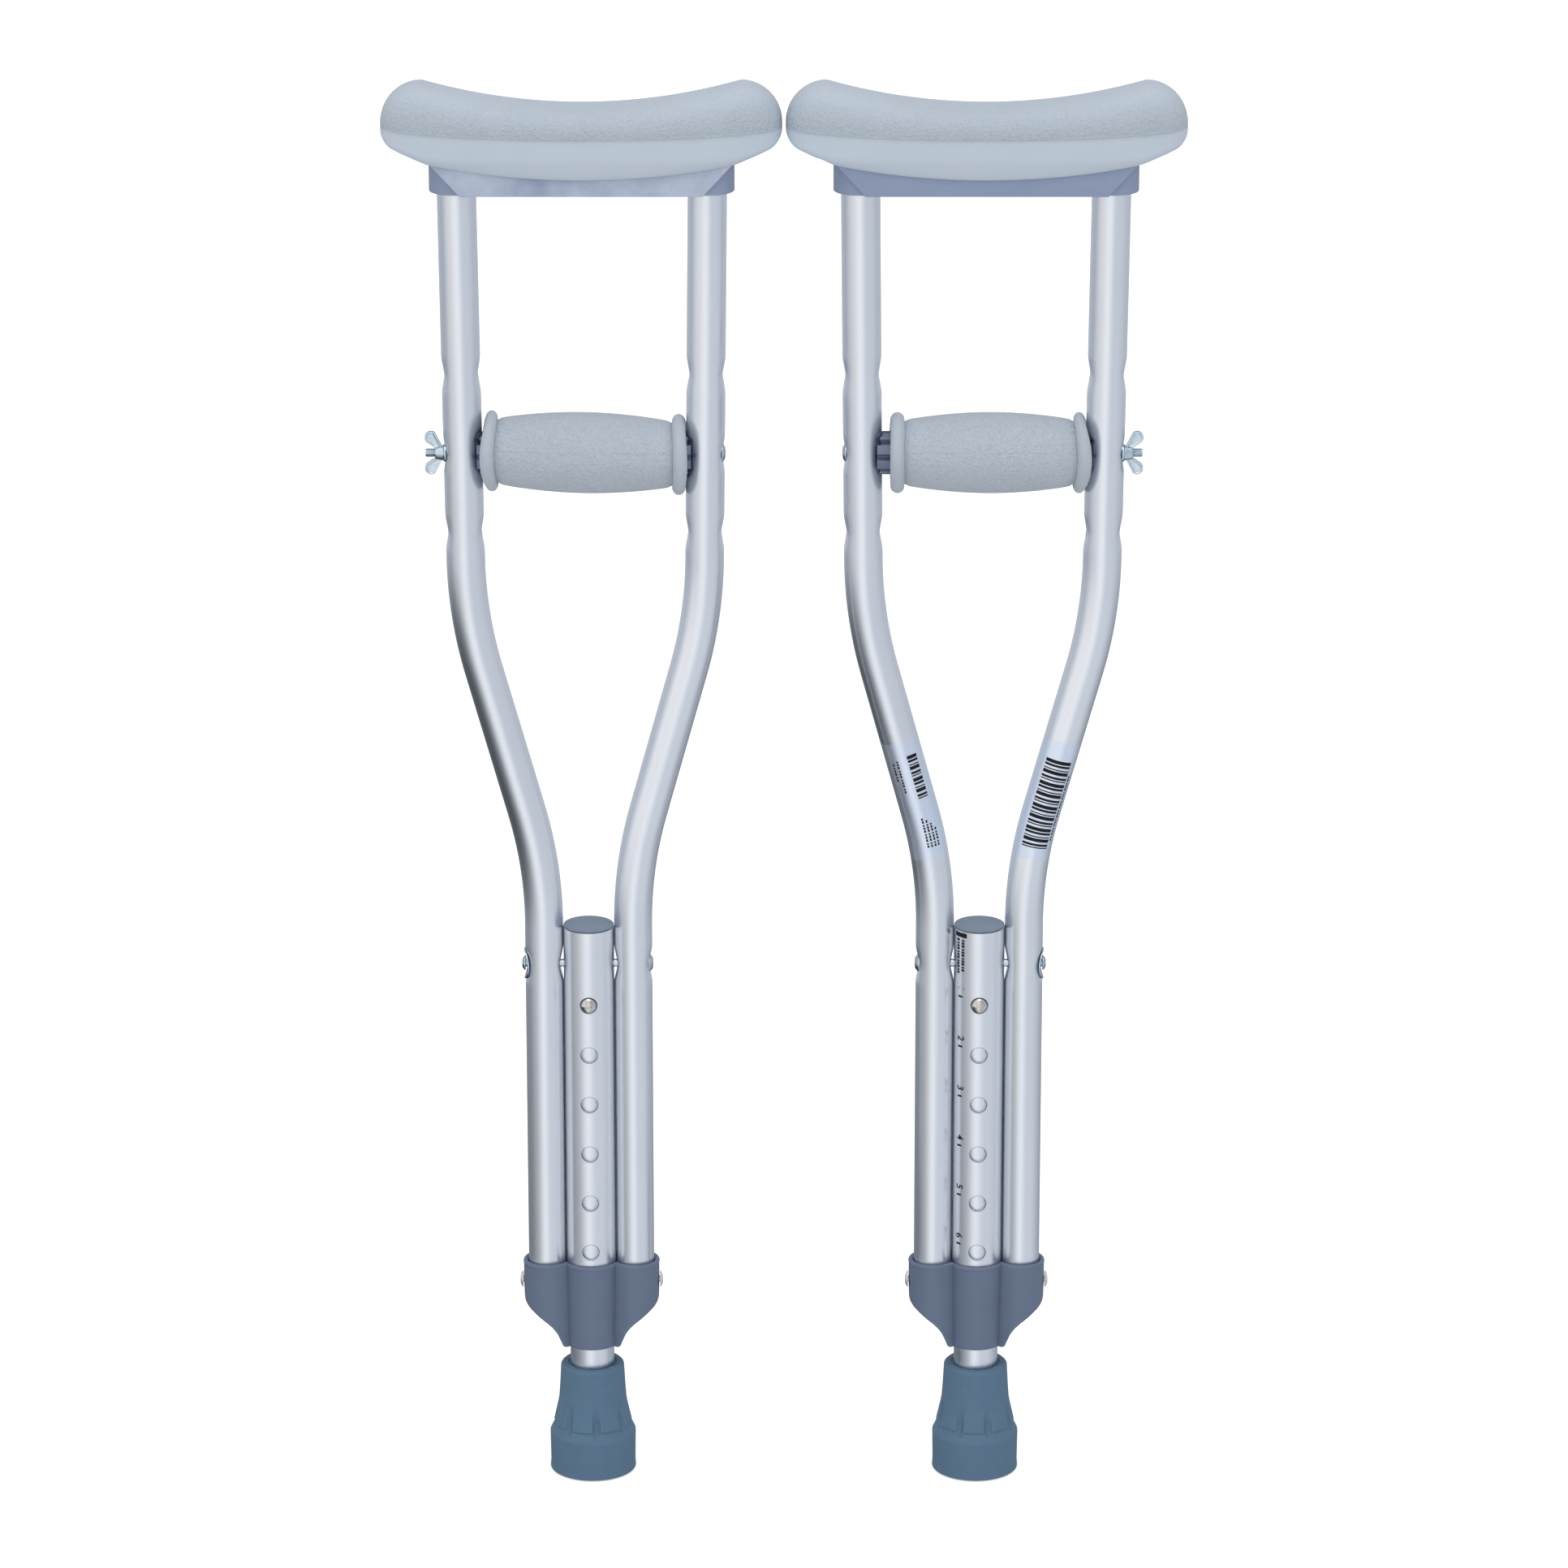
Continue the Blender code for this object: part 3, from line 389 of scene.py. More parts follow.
def side_tube(crutch, name, direction):
    """One bent side tube with its dents and bolt holes."""
    low, high = crutch.box(f"{name}_side_tube")
    bottom, top = low.z, high.z
    grip_z = crutch.grip_z
    rows = (grip_z - GRIP_PITCH, grip_z, grip_z + GRIP_PITCH)
    dents = [(z, GRIP_DENT) for z in rows] + [(crutch.rivet_z, RIVET_DENT)]
    fine = [centre + np.arange(-DENT_HALF_LENGTH, DENT_HALF_LENGTH, 0.6) for centre, _ in dents]
    outer_heights = np.unique(np.concatenate([np.arange(bottom, top, 3.0), [top], *fine]).round(2))
    inner_heights = np.linspace(bottom, top, 40)
    theta = np.linspace(0, math.tau, 72, endpoint=False)
    outer = [side_point(z, theta, SIDE_RADIUS, dents, direction) for z in outer_heights]
    bore = SIDE_RADIUS - SIDE_WALL - 1
    inner = [side_point(z, theta, bore, [], direction) for z in reversed(inner_heights)]
    obj = make_object(name, skin(outer + inner, closed=True))
    holes = [rod(BOLT_HOLE_RADIUS, 40, 70, "X", (0, 0, z), 32) for z in rows]
    cut(obj, join(*((points * (direction, 1, 1), faces) for points, faces in holes)))
    paint_tube(obj, direction)
    crutch.add(f"{name}_side_tube", obj, "frame", "aluminium", f"{name}_side_tube", sharp=40)


def paint_tube(obj, direction=0):
    """Store each point's place relative to its tube's axis, so that streaks follow the tube."""
    points = points_of(obj)
    if direction:
        offsets = np.array([tube_axis(z)[0] for z in points[:, 2]])
        points[:, 0] -= direction * offsets
    paint(obj, "along", points)


# ---------------------------------------------------------------- centre and extension tubes

def straight_tube(crutch, node, body, hole_count, cross_hole):
    """An upright tube with button holes in its front wall."""
    low, high = crutch.box(node)
    radius = high.y + (CENTRE_SWELL if cross_hole else 0.0)
    centres = [crutch.button_z - HOLE_PITCH * i for i in range(hole_count)]
    fine = [centre + np.arange(-6, 6.1, 1.0) for centre in centres]
    heights = np.unique(np.concatenate([np.arange(low.z, high.z, 4.0), [high.z], *fine]).round(2))
    heights = heights[(heights >= low.z) & (heights <= high.z)]
    profile = [(radius, z) for z in heights]
    bore = radius - TUBE_WALL
    obj = make_object(node, turned(profile + [(bore, high.z), (bore, low.z)], 128, closed=True))
    holes = [rod(HOLE_RADIUS, -radius - 3, -5, "Y", (0, 0, z), 64) for z in centres]
    if cross_hole:
        holes.append(rod(RIVET_HOLE_RADIUS, -20, 20, "X", (0, 0, crutch.rivet_z), 32))
    cut(obj, join(*holes))
    paint_tube(obj)
    obj.data.shade_smooth()
    obj.data.set_sharp_from_angle(angle=math.radians(40))
    radial_normals(obj, radius)
    crutch.add(node, obj, body, "aluminium", node)
    if cross_hole:
        # Each button hole gets a dark ring of painted shade along its edge.
        rims = make_object("rims", join(*(hole_rim(radius, z) for z in centres)))
        paint_tube(rims)
        crutch.add(f"{node}_hole_rims", rims, body, "aluminium", material="hole_shade")


def hole_rim(tube_radius, z):
    """A fine dark ring where a button hole meets the tube's wall: painted shade of the deep hole."""
    wire = 0.13
    around = np.linspace(0, math.tau, 64, endpoint=False)
    across, up = HOLE_RADIUS * np.cos(around), HOLE_RADIUS * np.sin(around)
    middle = np.stack([across, -np.sqrt(tube_radius ** 2 - across ** 2) + wire / 2, z + up], axis=-1)
    outward = np.stack([np.cos(around), np.zeros(64), np.sin(around)], axis=-1)
    rings = []
    for angle in np.linspace(0, math.tau, 8, endpoint=False):
        rings.append(middle + wire * (outward * math.cos(angle) + np.array([0, math.sin(angle), 0])))
    return skin(np.stack(rings, axis=1), closed=True)


def centre_tube_cap(crutch):
    """Flat plug with a thin, softly rounded rim."""
    low, high = crutch.box("centre_tube_cap")
    rim, stem = high.x, high.x - 1.4
    top = high.z
    seat = crutch.box("centre_tube")[1].z
    profile = fillet([(0, top - 0.2, 0), (rim - 2.0, top - 0.1, 2.0), (rim, top - 0.2, 0.5),
                      (rim, seat, 0.2), (stem, seat, 0.2), (stem, low.z, 0.6), (0, low.z, 0)])
    crutch.add("centre_tube_cap", make_object("cap", turned(profile, 96)), "frame",
               "grey_plastic", "centre_tube_cap", material="cap_plastic")


# ---------------------------------------------------------------- rivets

def frame_rivet(crutch):
    """Long rivet: a dome on the inner side, a low button head in the dished washer."""
    low, high = crutch.box("frame_rivet")
    shank = 1.9
    dome, head = 4.45, 3.55
    dome_seat, head_seat = low.x + 2.3, high.x - 1.7
    profile = fillet([(0, low.x, 0), (dome * 0.62, low.x + 0.25, 2.5), (dome, dome_seat - 0.5, 1.2),
                      (dome, dome_seat, 0.2), (shank, dome_seat, 0.2), (shank, head_seat, 0.2),
                      (head, head_seat, 0.2), (head, head_seat + 0.5, 0.8),
                      (head * 0.6, high.x - 0.1, 1.5), (0, high.x, 0)])
    obj = make_object("rivet", turned(profile, 64, "X", (0, 0, crutch.rivet_z)))
    crutch.add("frame_rivet", obj, "frame", "zinc_steel", "frame_rivet")


def frame_rivet_washer(crutch):
    """Washer bent like a saddle: wrapped round the tube, and flared where the dent runs out."""
    high = crutch.box("frame_rivet_washer")[1]
    rim, bore, thickness, flare, wrap = high.z - crutch.rivet_z, 2.2, 0.8, 1.6, 0.4
    seat = high.x - flare - thickness
    radii = np.linspace(bore, rim - 0.3, 12)
    edge = arc((rim - thickness / 2, seat + thickness / 2), thickness / 2, -90, 90, 6)
    profile = [(r, seat) for r in radii] + edge + [(r, seat + thickness) for r in reversed(radii)]
    obj = make_object("washer", turned(profile, 72, "X", (0, 0, crutch.rivet_z), closed=True))
    for vertex in obj.data.vertices:
        across, up = vertex.co.y / rim, (vertex.co.z - crutch.rivet_z) / rim
        vertex.co.x += flare * up ** 2 - wrap * across ** 2
    crutch.add("frame_rivet_washer", obj, "frame", "zinc_steel", "frame_rivet_washer")


def collar_rivet(crutch, name, direction):
    """Short rivet with a wide low head that sits on the collar's wall."""
    node = f"collar_rivet_{name}"
    low, high = crutch.box(node)
    tail = low.x if direction > 0 else -high.x
    seat = crutch.box("collar")[1].x - 0.25
    outer = seat + 1.5
    radius, shank = high.y, 1.6
    profile = fillet([(0, outer, 0), (radius * 0.55, outer - 0.15, 3.0), (radius, seat + 0.4, 0.6),
                      (radius, seat, 0.15), (shank, seat, 0.2), (shank, tail, 0.3), (0, tail, 0)])
    profile = [(r, direction * u) for r, u in profile]
    centre = (0, 0, crutch.middle_z(node))
    crutch.add(node, make_object(node, turned(profile, 56, "X", centre)), "frame",
               "rivet_aluminium", node)


# ---------------------------------------------------------------- collar

def collar_outline(angles, offset, side_radius, centre_radius):
    """Distance from the axis to three joined lobes, with soft valleys between them."""
    across = offset * np.abs(np.sin(angles))
    inside = np.maximum(side_radius ** 2 - across ** 2, 0.01)
    side = offset * np.abs(np.cos(angles)) + np.sqrt(inside)
    side = np.where(across < side_radius, side, 0)
    return smooth_max([np.full_like(side, centre_radius), side], 1.7) - 0.25


def collar(crutch):
    """Three lobes that hold the tubes, cut narrower below the shoulder down to a round neck."""
    low, high = crutch.box("collar")
    bottom, top = low.z, high.z
    offset = SPREAD_CORNER[0]
    edge, lip_height, lip = 1.2, 1.3, 0.2
    shoulder, upper_part = bottom + 26, top - 3
    quarter = np.linspace(0, math.pi / 2, 8)
    heights = np.unique(np.concatenate([bottom + edge * (1 - np.cos(quarter)),
                                        np.arange(bottom + edge, shoulder, 0.5),
                                        np.arange(shoulder, upper_part, 3.0),
                                        np.linspace(upper_part, top - edge, 8),
                                        top - edge * (1 - np.sin(quarter))]))
    angles = np.linspace(0, math.tau, 288, endpoint=False)
    lobes = collar_outline(angles, offset, SIDE_LOBE, CENTRE_LOBE)
    sideways = np.maximum(np.abs(np.cos(angles)), 0.02)
    rings = []
    for z in heights:
        half_width = np.interp(z - bottom, *zip(*COLLAR_OUTLINE))
        slimmer = 0.7 * (1 - min(1.0, (z - bottom) / 35))
        reach = -smooth_max([slimmer - lobes, -half_width / sideways], 0.35)
        from_edge = min(z - bottom, top - z)
        if from_edge < edge:
            reach = reach - edge + math.sqrt(edge ** 2 - (edge - from_edge) ** 2)
        reach = reach - lip * min(1.0, max(0.0, (top - lip_height - z) / 0.5))
        rings.append(ring(angles, reach, z))
    obj = make_object("collar", skin(rings))
    tube_bottom = crutch.box("centre_tube")[0].z - 0.3
    seat = crutch.box("centre_tube")[1].y + 0.3
    way_out = crutch.box("extension_tube")[1].y + 0.3
    cut(obj, turned([(0, top + 5), (seat + 1.2, top + 5), (seat + 1.2, top + 0.3), (seat, top - 0.9),
                     (seat, tube_bottom), (way_out, tube_bottom), (way_out, bottom + 0.6),
                     (way_out + 1.0, bottom - 0.5), (way_out + 1.0, bottom - 5), (0, bottom - 5)], 96))
    side_seat = SIDE_RADIUS + 0.3
    floor = crutch.box("outer_side_tube")[0].z - 0.3
    socket = [(0, top + 5), (side_seat + 1.2, top + 5), (side_seat + 1.2, top + 0.3),
              (side_seat, top - 0.9), (side_seat, floor), (0, floor)]
    for direction in (1, -1):
        cut(obj, turned(socket, 96, centre=(direction * offset, 0, 0)))
    crutch.add("collar", obj, "frame", "grey_plastic", "collar", sharp=30)


# ---------------------------------------------------------------- cradle and pad

def pad_cradle(crutch):
    """Bar with rounded ends that holds both tube tops, between two plates with slanted ends."""
    low, high = crutch.box("pad_cradle")
    bottom, top = low.z, high.z
    half_length, half_depth = high.x, high.y
    bar_depth = half_depth - 2.5
    corner = bar_depth - 1.0
    plan = fillet(oblong(half_length, bar_depth, corner), 14)
    bar = make_object("bar", prism(plan, "Z", bottom, top))
    offset = (tube_axis(bottom)[0] + tube_axis(top)[0]) / 2
    for direction in (1, -1):
        cut(bar, rod(SIDE_RADIUS + 0.4, bottom - 5, top - 4, "Z", (direction * offset, 0, 0), 72))
    bevel(bar, 0.4)
    # The left crutch's plates get pale patches of painted sheen; the bar and the right crutch get
    # none.
    painted_sheen = 1.0 if crutch.name == "left" else 0.0
    paint(bar, "painted_sheen", np.zeros(len(bar.data.vertices)))
    # The bar and plates use the lighter cradle plastic, whose extra lightness is painted reflection of
    # the bright floor.
    crutch.add("pad_cradle", bar, "frame", "grey_plastic", "pad_cradle", material="cradle_plastic_painted_light")

    slant_foot, slant_top = 56.0, half_length - 1.0
    for name, y in (("front", -1), ("back", 1)):
        outline = [(-slant_foot, bottom), (slant_foot, bottom), (slant_top, top - 7),
                   (slant_top, top), (-slant_top, top), (-slant_top, top - 7)]
        inner, outer = sorted((y * (bar_depth - 1.5), y * half_depth))
        plate = make_object("plate", prism(outline, "Y", inner, outer))
        bevel(plate, 0.4, 3)
        paint(plate, "painted_sheen", np.full(len(plate.data.vertices), painted_sheen))
        crutch.add(f"pad_cradle_{name}_plate", plate, "frame", "grey_plastic",
                   material="cradle_plastic_painted_light")


def oblong(half_u, half_y, corner):
    """Corners of a box outline in plan, each with the same corner radius, for fillet."""
    return [(u * half_u, y * half_y, corner) for u, y in ((1, 1), (-1, 1), (-1, -1), (1, -1))]


def pad_top(x, half_length):
    """Height of the pad's ridge: a saddle between two rounded ends."""
    peak = half_length - PAD_END_RADIUS
    drop = np.sqrt(np.maximum(PAD_END_RADIUS ** 2 - (np.abs(x) - peak) ** 2, 0))
    end = PAD_SADDLE + PAD_END_RISE - PAD_END_RADIUS + drop
    radius = (peak ** 2 + PAD_END_RISE ** 2) / (2 * PAD_END_RISE)
    saddle = PAD_SADDLE + radius - np.sqrt(radius ** 2 - np.minimum(np.abs(x), peak) ** 2)
    return np.where(np.abs(x) > peak, end, saddle)


def pad_bottom(x, half_length):
    """Height of the skirt's lower edge: a shallow smile, slanted up beyond the cradle."""
    smile = PAD_SMILE * (np.minimum(np.abs(x), SMILE_HALF) / SMILE_HALF) ** 2
    slant = PAD_END_SLOPE * np.maximum(0, np.abs(x) - SMILE_HALF)
    over = np.maximum(0, np.abs(x) - (half_length - PAD_CORNER)) / PAD_CORNER
    return PAD_BOTTOM + smile + slant + PAD_CORNER * (1 - np.sqrt(np.maximum(1 - over ** 2, 0)))


def grain_line(x):
    """Height at which the grained crown ends and the smooth skirt begins."""
    return GRAIN_LINE + GRAIN_LINE_RISE * (x / 74) ** 2


def pad_skirt(x, half_length, depth):
    """Front half of the skirt's section: an upright band, then a lip that curls in to the bottom."""
    line, bottom = float(grain_line(x)), float(pad_bottom(x, half_length))
    share = max(0.08, 0.49 - 0.32 * (x / SMILE_HALF) ** 2)
    crease = bottom + (line - bottom) * share
    step = min(0.35, depth * 0.1)
    band = np.linspace(0, 1, 6)
    curl = np.linspace(0, math.pi / 2, 12)[1:]
    inward = 0.09 * (1 - np.cos(curl)) + 0.06 * np.sin(curl)
    y = np.concatenate([depth - step + step * 0.8 * band, depth * (1 - inward) - step * 0.2])
    z = np.concatenate([line - 0.1 - (line - 0.1 - crease) * band,
                        crease - (crease - bottom) * np.sin(curl)])
    return y, z


def underarm_pad(crutch):
    """Saddle pad: a grained crown with a small step above a smooth skirt, and a pocket below."""
    half_length = crutch.box("underarm_pad")[1].x
    crown = np.linspace(0, math.pi, 61)
    cos, sin = np.cos(crown), np.sin(crown)
    rings = []
    for x in np.sin(np.linspace(-math.pi / 2, math.pi / 2, 181)) * half_length:
        depth = PAD_DEPTH * max(1 - abs(x / half_length) ** 5, 0) ** (1 / 3)
        line, top = float(grain_line(x)), float(pad_top(x, half_length))
        skirt_y, skirt_z = pad_skirt(x, half_length, depth)
        front = np.stack([np.full(len(skirt_y), x), -skirt_y, skirt_z], axis=-1)[::-1]
        over = np.stack([np.full(61, x), -depth * np.sign(cos) * np.abs(cos) ** 0.62,
                         line + (top - line) * sin ** 0.88], axis=-1)
        back = front[::-1] * (1, -1, 1)
        rings.append(np.concatenate([front, over, back]))
    obj = make_object("pad", skin(rings))
    cradle = crutch.box("pad_cradle")[1]
    pocket_low, pocket_high = POCKET_ENDS[crutch.name]
    outline = oblong((pocket_high - pocket_low) / 2, cradle.y + 0.4, 3)
    pocket = prism(fillet(outline), "Z", PAD_BOTTOM - 20, cradle.z + 0.4)
    cut(obj, move(pocket, ((pocket_high + pocket_low) / 2, 0, 0)))
    points = points_of(obj)
    above = points[:, 2] - grain_line(points[:, 0])
    grain = np.clip(above / 0.8 + 0.5, 0, 1) * (1 - 0.55 * np.clip(above / 16, 0, 1))
    paint(obj, "grain", grain)
    crutch.add("underarm_pad", obj, "frame", "pad_foam", "underarm_pad", sharp=50)


# ---------------------------------------------------------------- leg

def rubber_tip(crutch):
    """Ferrule: thick lip, slim neck that flares over shallow panels, and a wide foot."""
    high = crutch.box("rubber_tip")[1]
    foot, top = high.y, high.z
    bore = crutch.box("extension_tube")[1].y + 0.1
    outer = fillet([(foot - 0.9, 0.0, 0.0), (foot, 0.0, 0.9), (foot - 0.25, 3.6, 1.2),
                    (foot, 19.0, 2.2), (19.2, 22.5, 1.2), (18.3, 24.3, 2.5), (17.4, 28.5, 8),
                    (16.6, 34.5, 20), (15.9, 44.0, 30), (15.4, top - 1.2, 1.2), (14.2, top, 1.0),
                    (bore + 0.7, top, 0.7)], 6)
    radii, heights = np.array(outer).T
    length = np.concatenate([[0], np.cumsum(np.hypot(np.diff(radii), np.diff(heights)))])
    fine = np.unique(np.concatenate([length, np.linspace(0, length[-1], 150)]))
    radii, heights = np.interp(fine, length, radii), np.interp(fine, length, heights)
    angles = np.linspace(0, math.tau, 288, endpoint=False)
    floor = crutch.box("tip_washer")[0].z - 0.2
    relief = [tip_relief(angles, z, TIP_GROOVE_AT[crutch.name]) for z in heights]
    walls = [(0, 0, 0), *zip(radii, heights, relief), (bore, top - 0.7, 0), (bore, floor, 0),
             (0, floor, 0)]
    rings = []
    for radius, z, height in walls:
        reach = np.full_like(angles, radius) + height
        rings.append(ring(angles, reach, z))
    crutch.add("rubber_tip", make_object("tip", skin(rings)), "leg", "tip_rubber", "rubber_tip")


def tip_relief(angles, z, groove_at):
    """Height of the shallow panels above the foot, and of the grooves that part them."""
    period = 360 / TIP_GROOVES
    groove_foot, panel_foot, top, fade_length = 21.5, 24.0, 37.0, 9.0
    from_front = np.degrees(angles) + 90 - groove_at
    across = np.abs((from_front + period / 2) % period - period / 2)
    fade = min(1.0, max(0.0, (top - z) / fade_length))
    panel = np.clip((across - 5.5) / 1.5, 0, 1) * min(1.0, max(0.0, (z - panel_foot) / 0.4)) * fade
    width = 1.5 + 4.0 * fade
    groove = np.clip(1 - (across / width) ** 2, 0, 1) * min(1.0, max(0.0, z - groove_foot)) * fade
    return 0.75 * panel - 1.0 * groove


def snap_button(crutch):
    """Domed pin that stands out through both tubes."""
    low, high = crutch.box("snap_button")
    radius = high.x
    crown, base = low.y, high.y
    shoulder = crown + 2.0
    dome = [(radius * math.sin(a), crown + 2.0 * (1 - math.cos(a)) ** 1.05)
            for a in np.linspace(0, math.pi / 2, 16)]
    profile = dome + [(radius, shoulder + 0.4), (radius, base), (0, base)]
    obj = make_object("button", turned(profile, 72, "Y", (0, 0, crutch.button_z)))
    crutch.add("snap_button", obj, "button", "chrome", "snap_button")


def snap_spring(crutch):
    """V-shaped leaf: a front leg by the button and a back leg that stays in the tube."""
    low, high = crutch.box("snap_spring")
    thickness, half_width, radius = 0.8, 3.5, 2.1
    front, back = low.y + thickness / 2, high.y - thickness / 2
    fold, knee = low.z + 2.5, high.z - 14.0
    path = np.array([(front, high.z),
                     *zip(np.linspace(front, -radius, 14), np.linspace(knee, fold, 14)),
                     *arc((0, fold), radius, 190, 350, 10),
                     *zip(np.linspace(radius, back, 6), np.linspace(fold, knee, 6))])
    run = np.gradient(path, axis=0)
    normal = np.stack([run[:, 1], -run[:, 0]], 1) / np.linalg.norm(run, axis=1)[:, None]
    outline = np.concatenate([path + normal * thickness / 2, (path - normal * thickness / 2)[::-1]])
    obj = make_object("spring", prism(outline, "X", -half_width, half_width))
    crutch.add("snap_spring", obj, None, "spring_steel", "snap_spring")
    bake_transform(obj)


# ---------------------------------------------------------------- handgrip

def grip_bolt(crutch):
    """Truss head, plain shank and a threaded end."""
    low, high = crutch.box("grip_bolt")
    head, shank, pitch, cut_depth = high.y, 2.1, 0.75, 0.28
    seat, shank_end, thread_start = low.x + 1.8, 60.0, 59.0
    head_profile = fillet([(0, low.x, 0), (head * 0.6, low.x + 0.3, 3.0), (head, seat - 0.5, 0.7),
                           (head, seat, 0.15), (shank, seat, 0.15), (shank, shank_end, 0),
                           (0, shank_end, 0)])
    around = 40
    angles = np.linspace(0, math.tau, around, endpoint=False)
    along = np.arange(thread_start, high.x, pitch / 8)
    rings = []
    for u in along:
        phase = (u / pitch - angles / math.tau) % 1.0
        tooth = np.abs(phase - 0.5) * 2
        fade = min(1.0, (high.x - u) / 0.5)
        radius = (shank - cut_depth * tooth) * (0.85 + 0.15 * fade)
        rings.append(np.stack([np.full(around, u), radius * np.cos(angles),
                               radius * np.sin(angles)], axis=-1))
    shape = join(turned(head_profile, 64, "X"), skin(rings))
    obj = make_object("bolt", move(shape, (0, 0, crutch.grip_z)))
    crutch.add("grip_bolt", obj, "grip", "zinc_steel", "grip_bolt", sharp=50)


def grip_core(crutch):
    """Plastic core with eight flat-topped ribs."""
    low, high = crutch.box("grip_core")
    radius = high.y + 0.05
    valley, bore, ribs = radius - 3.4, 2.4, 8
    corners = []
    for i in range(ribs):
        for share, reach, corner in ((0.10, valley, 0.6), (0.22, radius, 0.5), (0.78, radius, 0.5),
                                     (0.90, valley, 0.6)):
            angle = math.tau * (i + share) / ribs
            corners.append((reach * math.cos(angle), reach * math.sin(angle), corner))
    outline = fillet(corners, 3)
    count = len(outline)
    hole = [(bore * math.cos(math.tau * i / count), bore * math.sin(math.tau * i / count))
            for i in range(count)]
    rings = []
    for loop, u in ((outline, low.x), (outline, high.x), (hole, high.x), (hole, low.x)):
        rings.append([(u, y, z) for y, z in loop])
    obj = make_object("core", move(skin(rings, closed=True), (0, 0, crutch.grip_z)))
    bevel(obj, 0.25, 2, 50)
    cut(obj, saddles(crutch))
    crutch.add("grip_core", obj, "grip", "grey_plastic", "grip_core", sharp=40)


def saddles(crutch):
    """Cutter for the hollows that let the grip's ends fit round the side tubes."""
    offset = tube_axis(crutch.grip_z)[0]
    low, high = crutch.grip_z - 30, crutch.grip_z + 30
    return join(*(rod(SADDLE_RADIUS, low, high, "Z", (side * offset, 0, 0), 96) for side in (1, -1)))


def sleeve_profile(start, end, radius, neck, flange):
    """Outer outline from one flange over the barrel to the other, as (radius, u)."""
    half = flange / 2
    profile = [(r, u) for u, r in arc((start + half, radius - half), half, 180, -15, 14)]
    barrel_start, barrel_end = start + flange + 0.3, end - flange - 0.3
    for t in np.linspace(0, 1, 40):
        swell = math.sin(math.pi * t) ** 0.85
        crease = 0.5 * (1 - min(1.0, min(t, 1 - t) / 0.02)) ** 2
        profile.append((neck + (radius - neck) * swell - crease,
                        barrel_start + (barrel_end - barrel_start) * t))
    return profile + [(r, u) for u, r in arc((end - half, radius - half), half, 195, 0, 14)]


def grip_sleeve(crutch):
    """Soft barrel that swells in the middle, with a flange at each end that bends over its tube."""
    low, high = crutch.box("grip_sleeve")
    radius, neck, flange = high.y, 15.3, 6.7
    bore = crutch.box("grip_core")[1].y + 0.35
    profile = sleeve_profile(low.x, high.x, radius, neck, flange)
    profile = [(bore + 0.8, low.x + 0.2), *profile, (bore + 0.8, high.x - 0.2), (bore, high.x - 1),
               (bore, low.x + 1)]
    seam = math.radians(-90 - 15)
    angles = np.sort(np.concatenate([np.linspace(-math.pi, math.pi, 144, endpoint=False),
                                     seam + np.radians(np.linspace(-1.6, 1.6, 11))]))
    inner_bulge, outer_bulge = SLEEVE_BULGES[crutch.name]
    rings = []
    for r, u in profile:
        ridge = 0.0
        if r > neck - 0.2 and low.x + flange < u < high.x - flange:
            ridge = 0.16 * np.exp(-((angles - seam) / math.radians(0.55)) ** 2)
        reach = r + ridge
        pull = (inner_bulge * max(0.0, 1 - (u - low.x) / 14)
                - outer_bulge * max(0.0, 1 - (high.x - u) / 14))
        rings.append(np.stack([u + pull * np.cos(angles) ** 2, reach * np.sin(angles),
                               reach * -np.cos(angles) + SLEEVE_TILT[crutch.name] * u], axis=-1))
    obj = make_object("sleeve", move(skin(rings, closed=True), (0, 0, crutch.grip_z)))
    cut(obj, saddles(crutch))
    points = points_of(obj)
    inside = np.minimum(points[:, 0] - low.x, high.x - points[:, 0]) - flange
    paint(obj, "grain", 0.35 + 0.65 * np.clip(inside, 0, 1))
    crutch.add("grip_sleeve", obj, "grip", "grip_foam", "grip_sleeve", sharp=50)


def wing_nut(crutch):
    """Flared base and tapering hub with two rounded wings whose faces are recessed."""
    low, high = crutch.box("wing_nut")
    seat, base = low.x, high.y
    top = seat + 5.2
    bore = 2.15
    profile = fillet([(bore, seat, 0.1), (base, seat, 0.2), (base, seat + 0.7, 0.25),
                      (3.7, seat + 1.3, 0.5), (3.1, top - 0.2, 0.5), (bore + 0.3, top, 0.2),
                      (bore, top - 0.3, 0.1)], 4)
    hub = make_object("hub", turned(profile, 56, "X", (0, 0, crutch.grip_z), closed=True))
    crutch.add("wing_nut", hub, "nut", "zinc_steel", "wing_nut")
    tip_radius, half_thickness = 3.0, 1.1
    for name, direction in (("upper", 1), ("lower", -1)):
        root = [(seat + 5.0, 2.3), (seat + 2.0, 2.3), (seat + 2.3, 4.0)]
        tip = arc((seat + 7.1, 7.4), tip_radius, 128, -52, 18)
        outline = [(u, crutch.grip_z + direction * height) for u, height in root + tip]
        wing = make_object("wing", prism(outline, "Y", -half_thickness, half_thickness))
        recess(wing, 0.75, 0.3)
        bevel(wing, 0.3, 3, 40)
        crutch.add(f"wing_nut_{name}_wing", wing, "nut", "zinc_steel")


def recess(obj, rim, depth):
    """Sink the two flat faces, leaving a rim round them."""
    bm = bmesh.new()
    bm.from_mesh(obj.data)
    flat = [f for f in bm.faces if abs(f.normal.y) > 0.9]
    bmesh.ops.inset_individual(bm, faces=flat, thickness=rim, depth=0)
    bmesh.ops.inset_individual(bm, faces=flat, thickness=depth, depth=-depth)
    bm.to_mesh(obj.data)
    bm.free()


# ---------------------------------------------------------------- labels

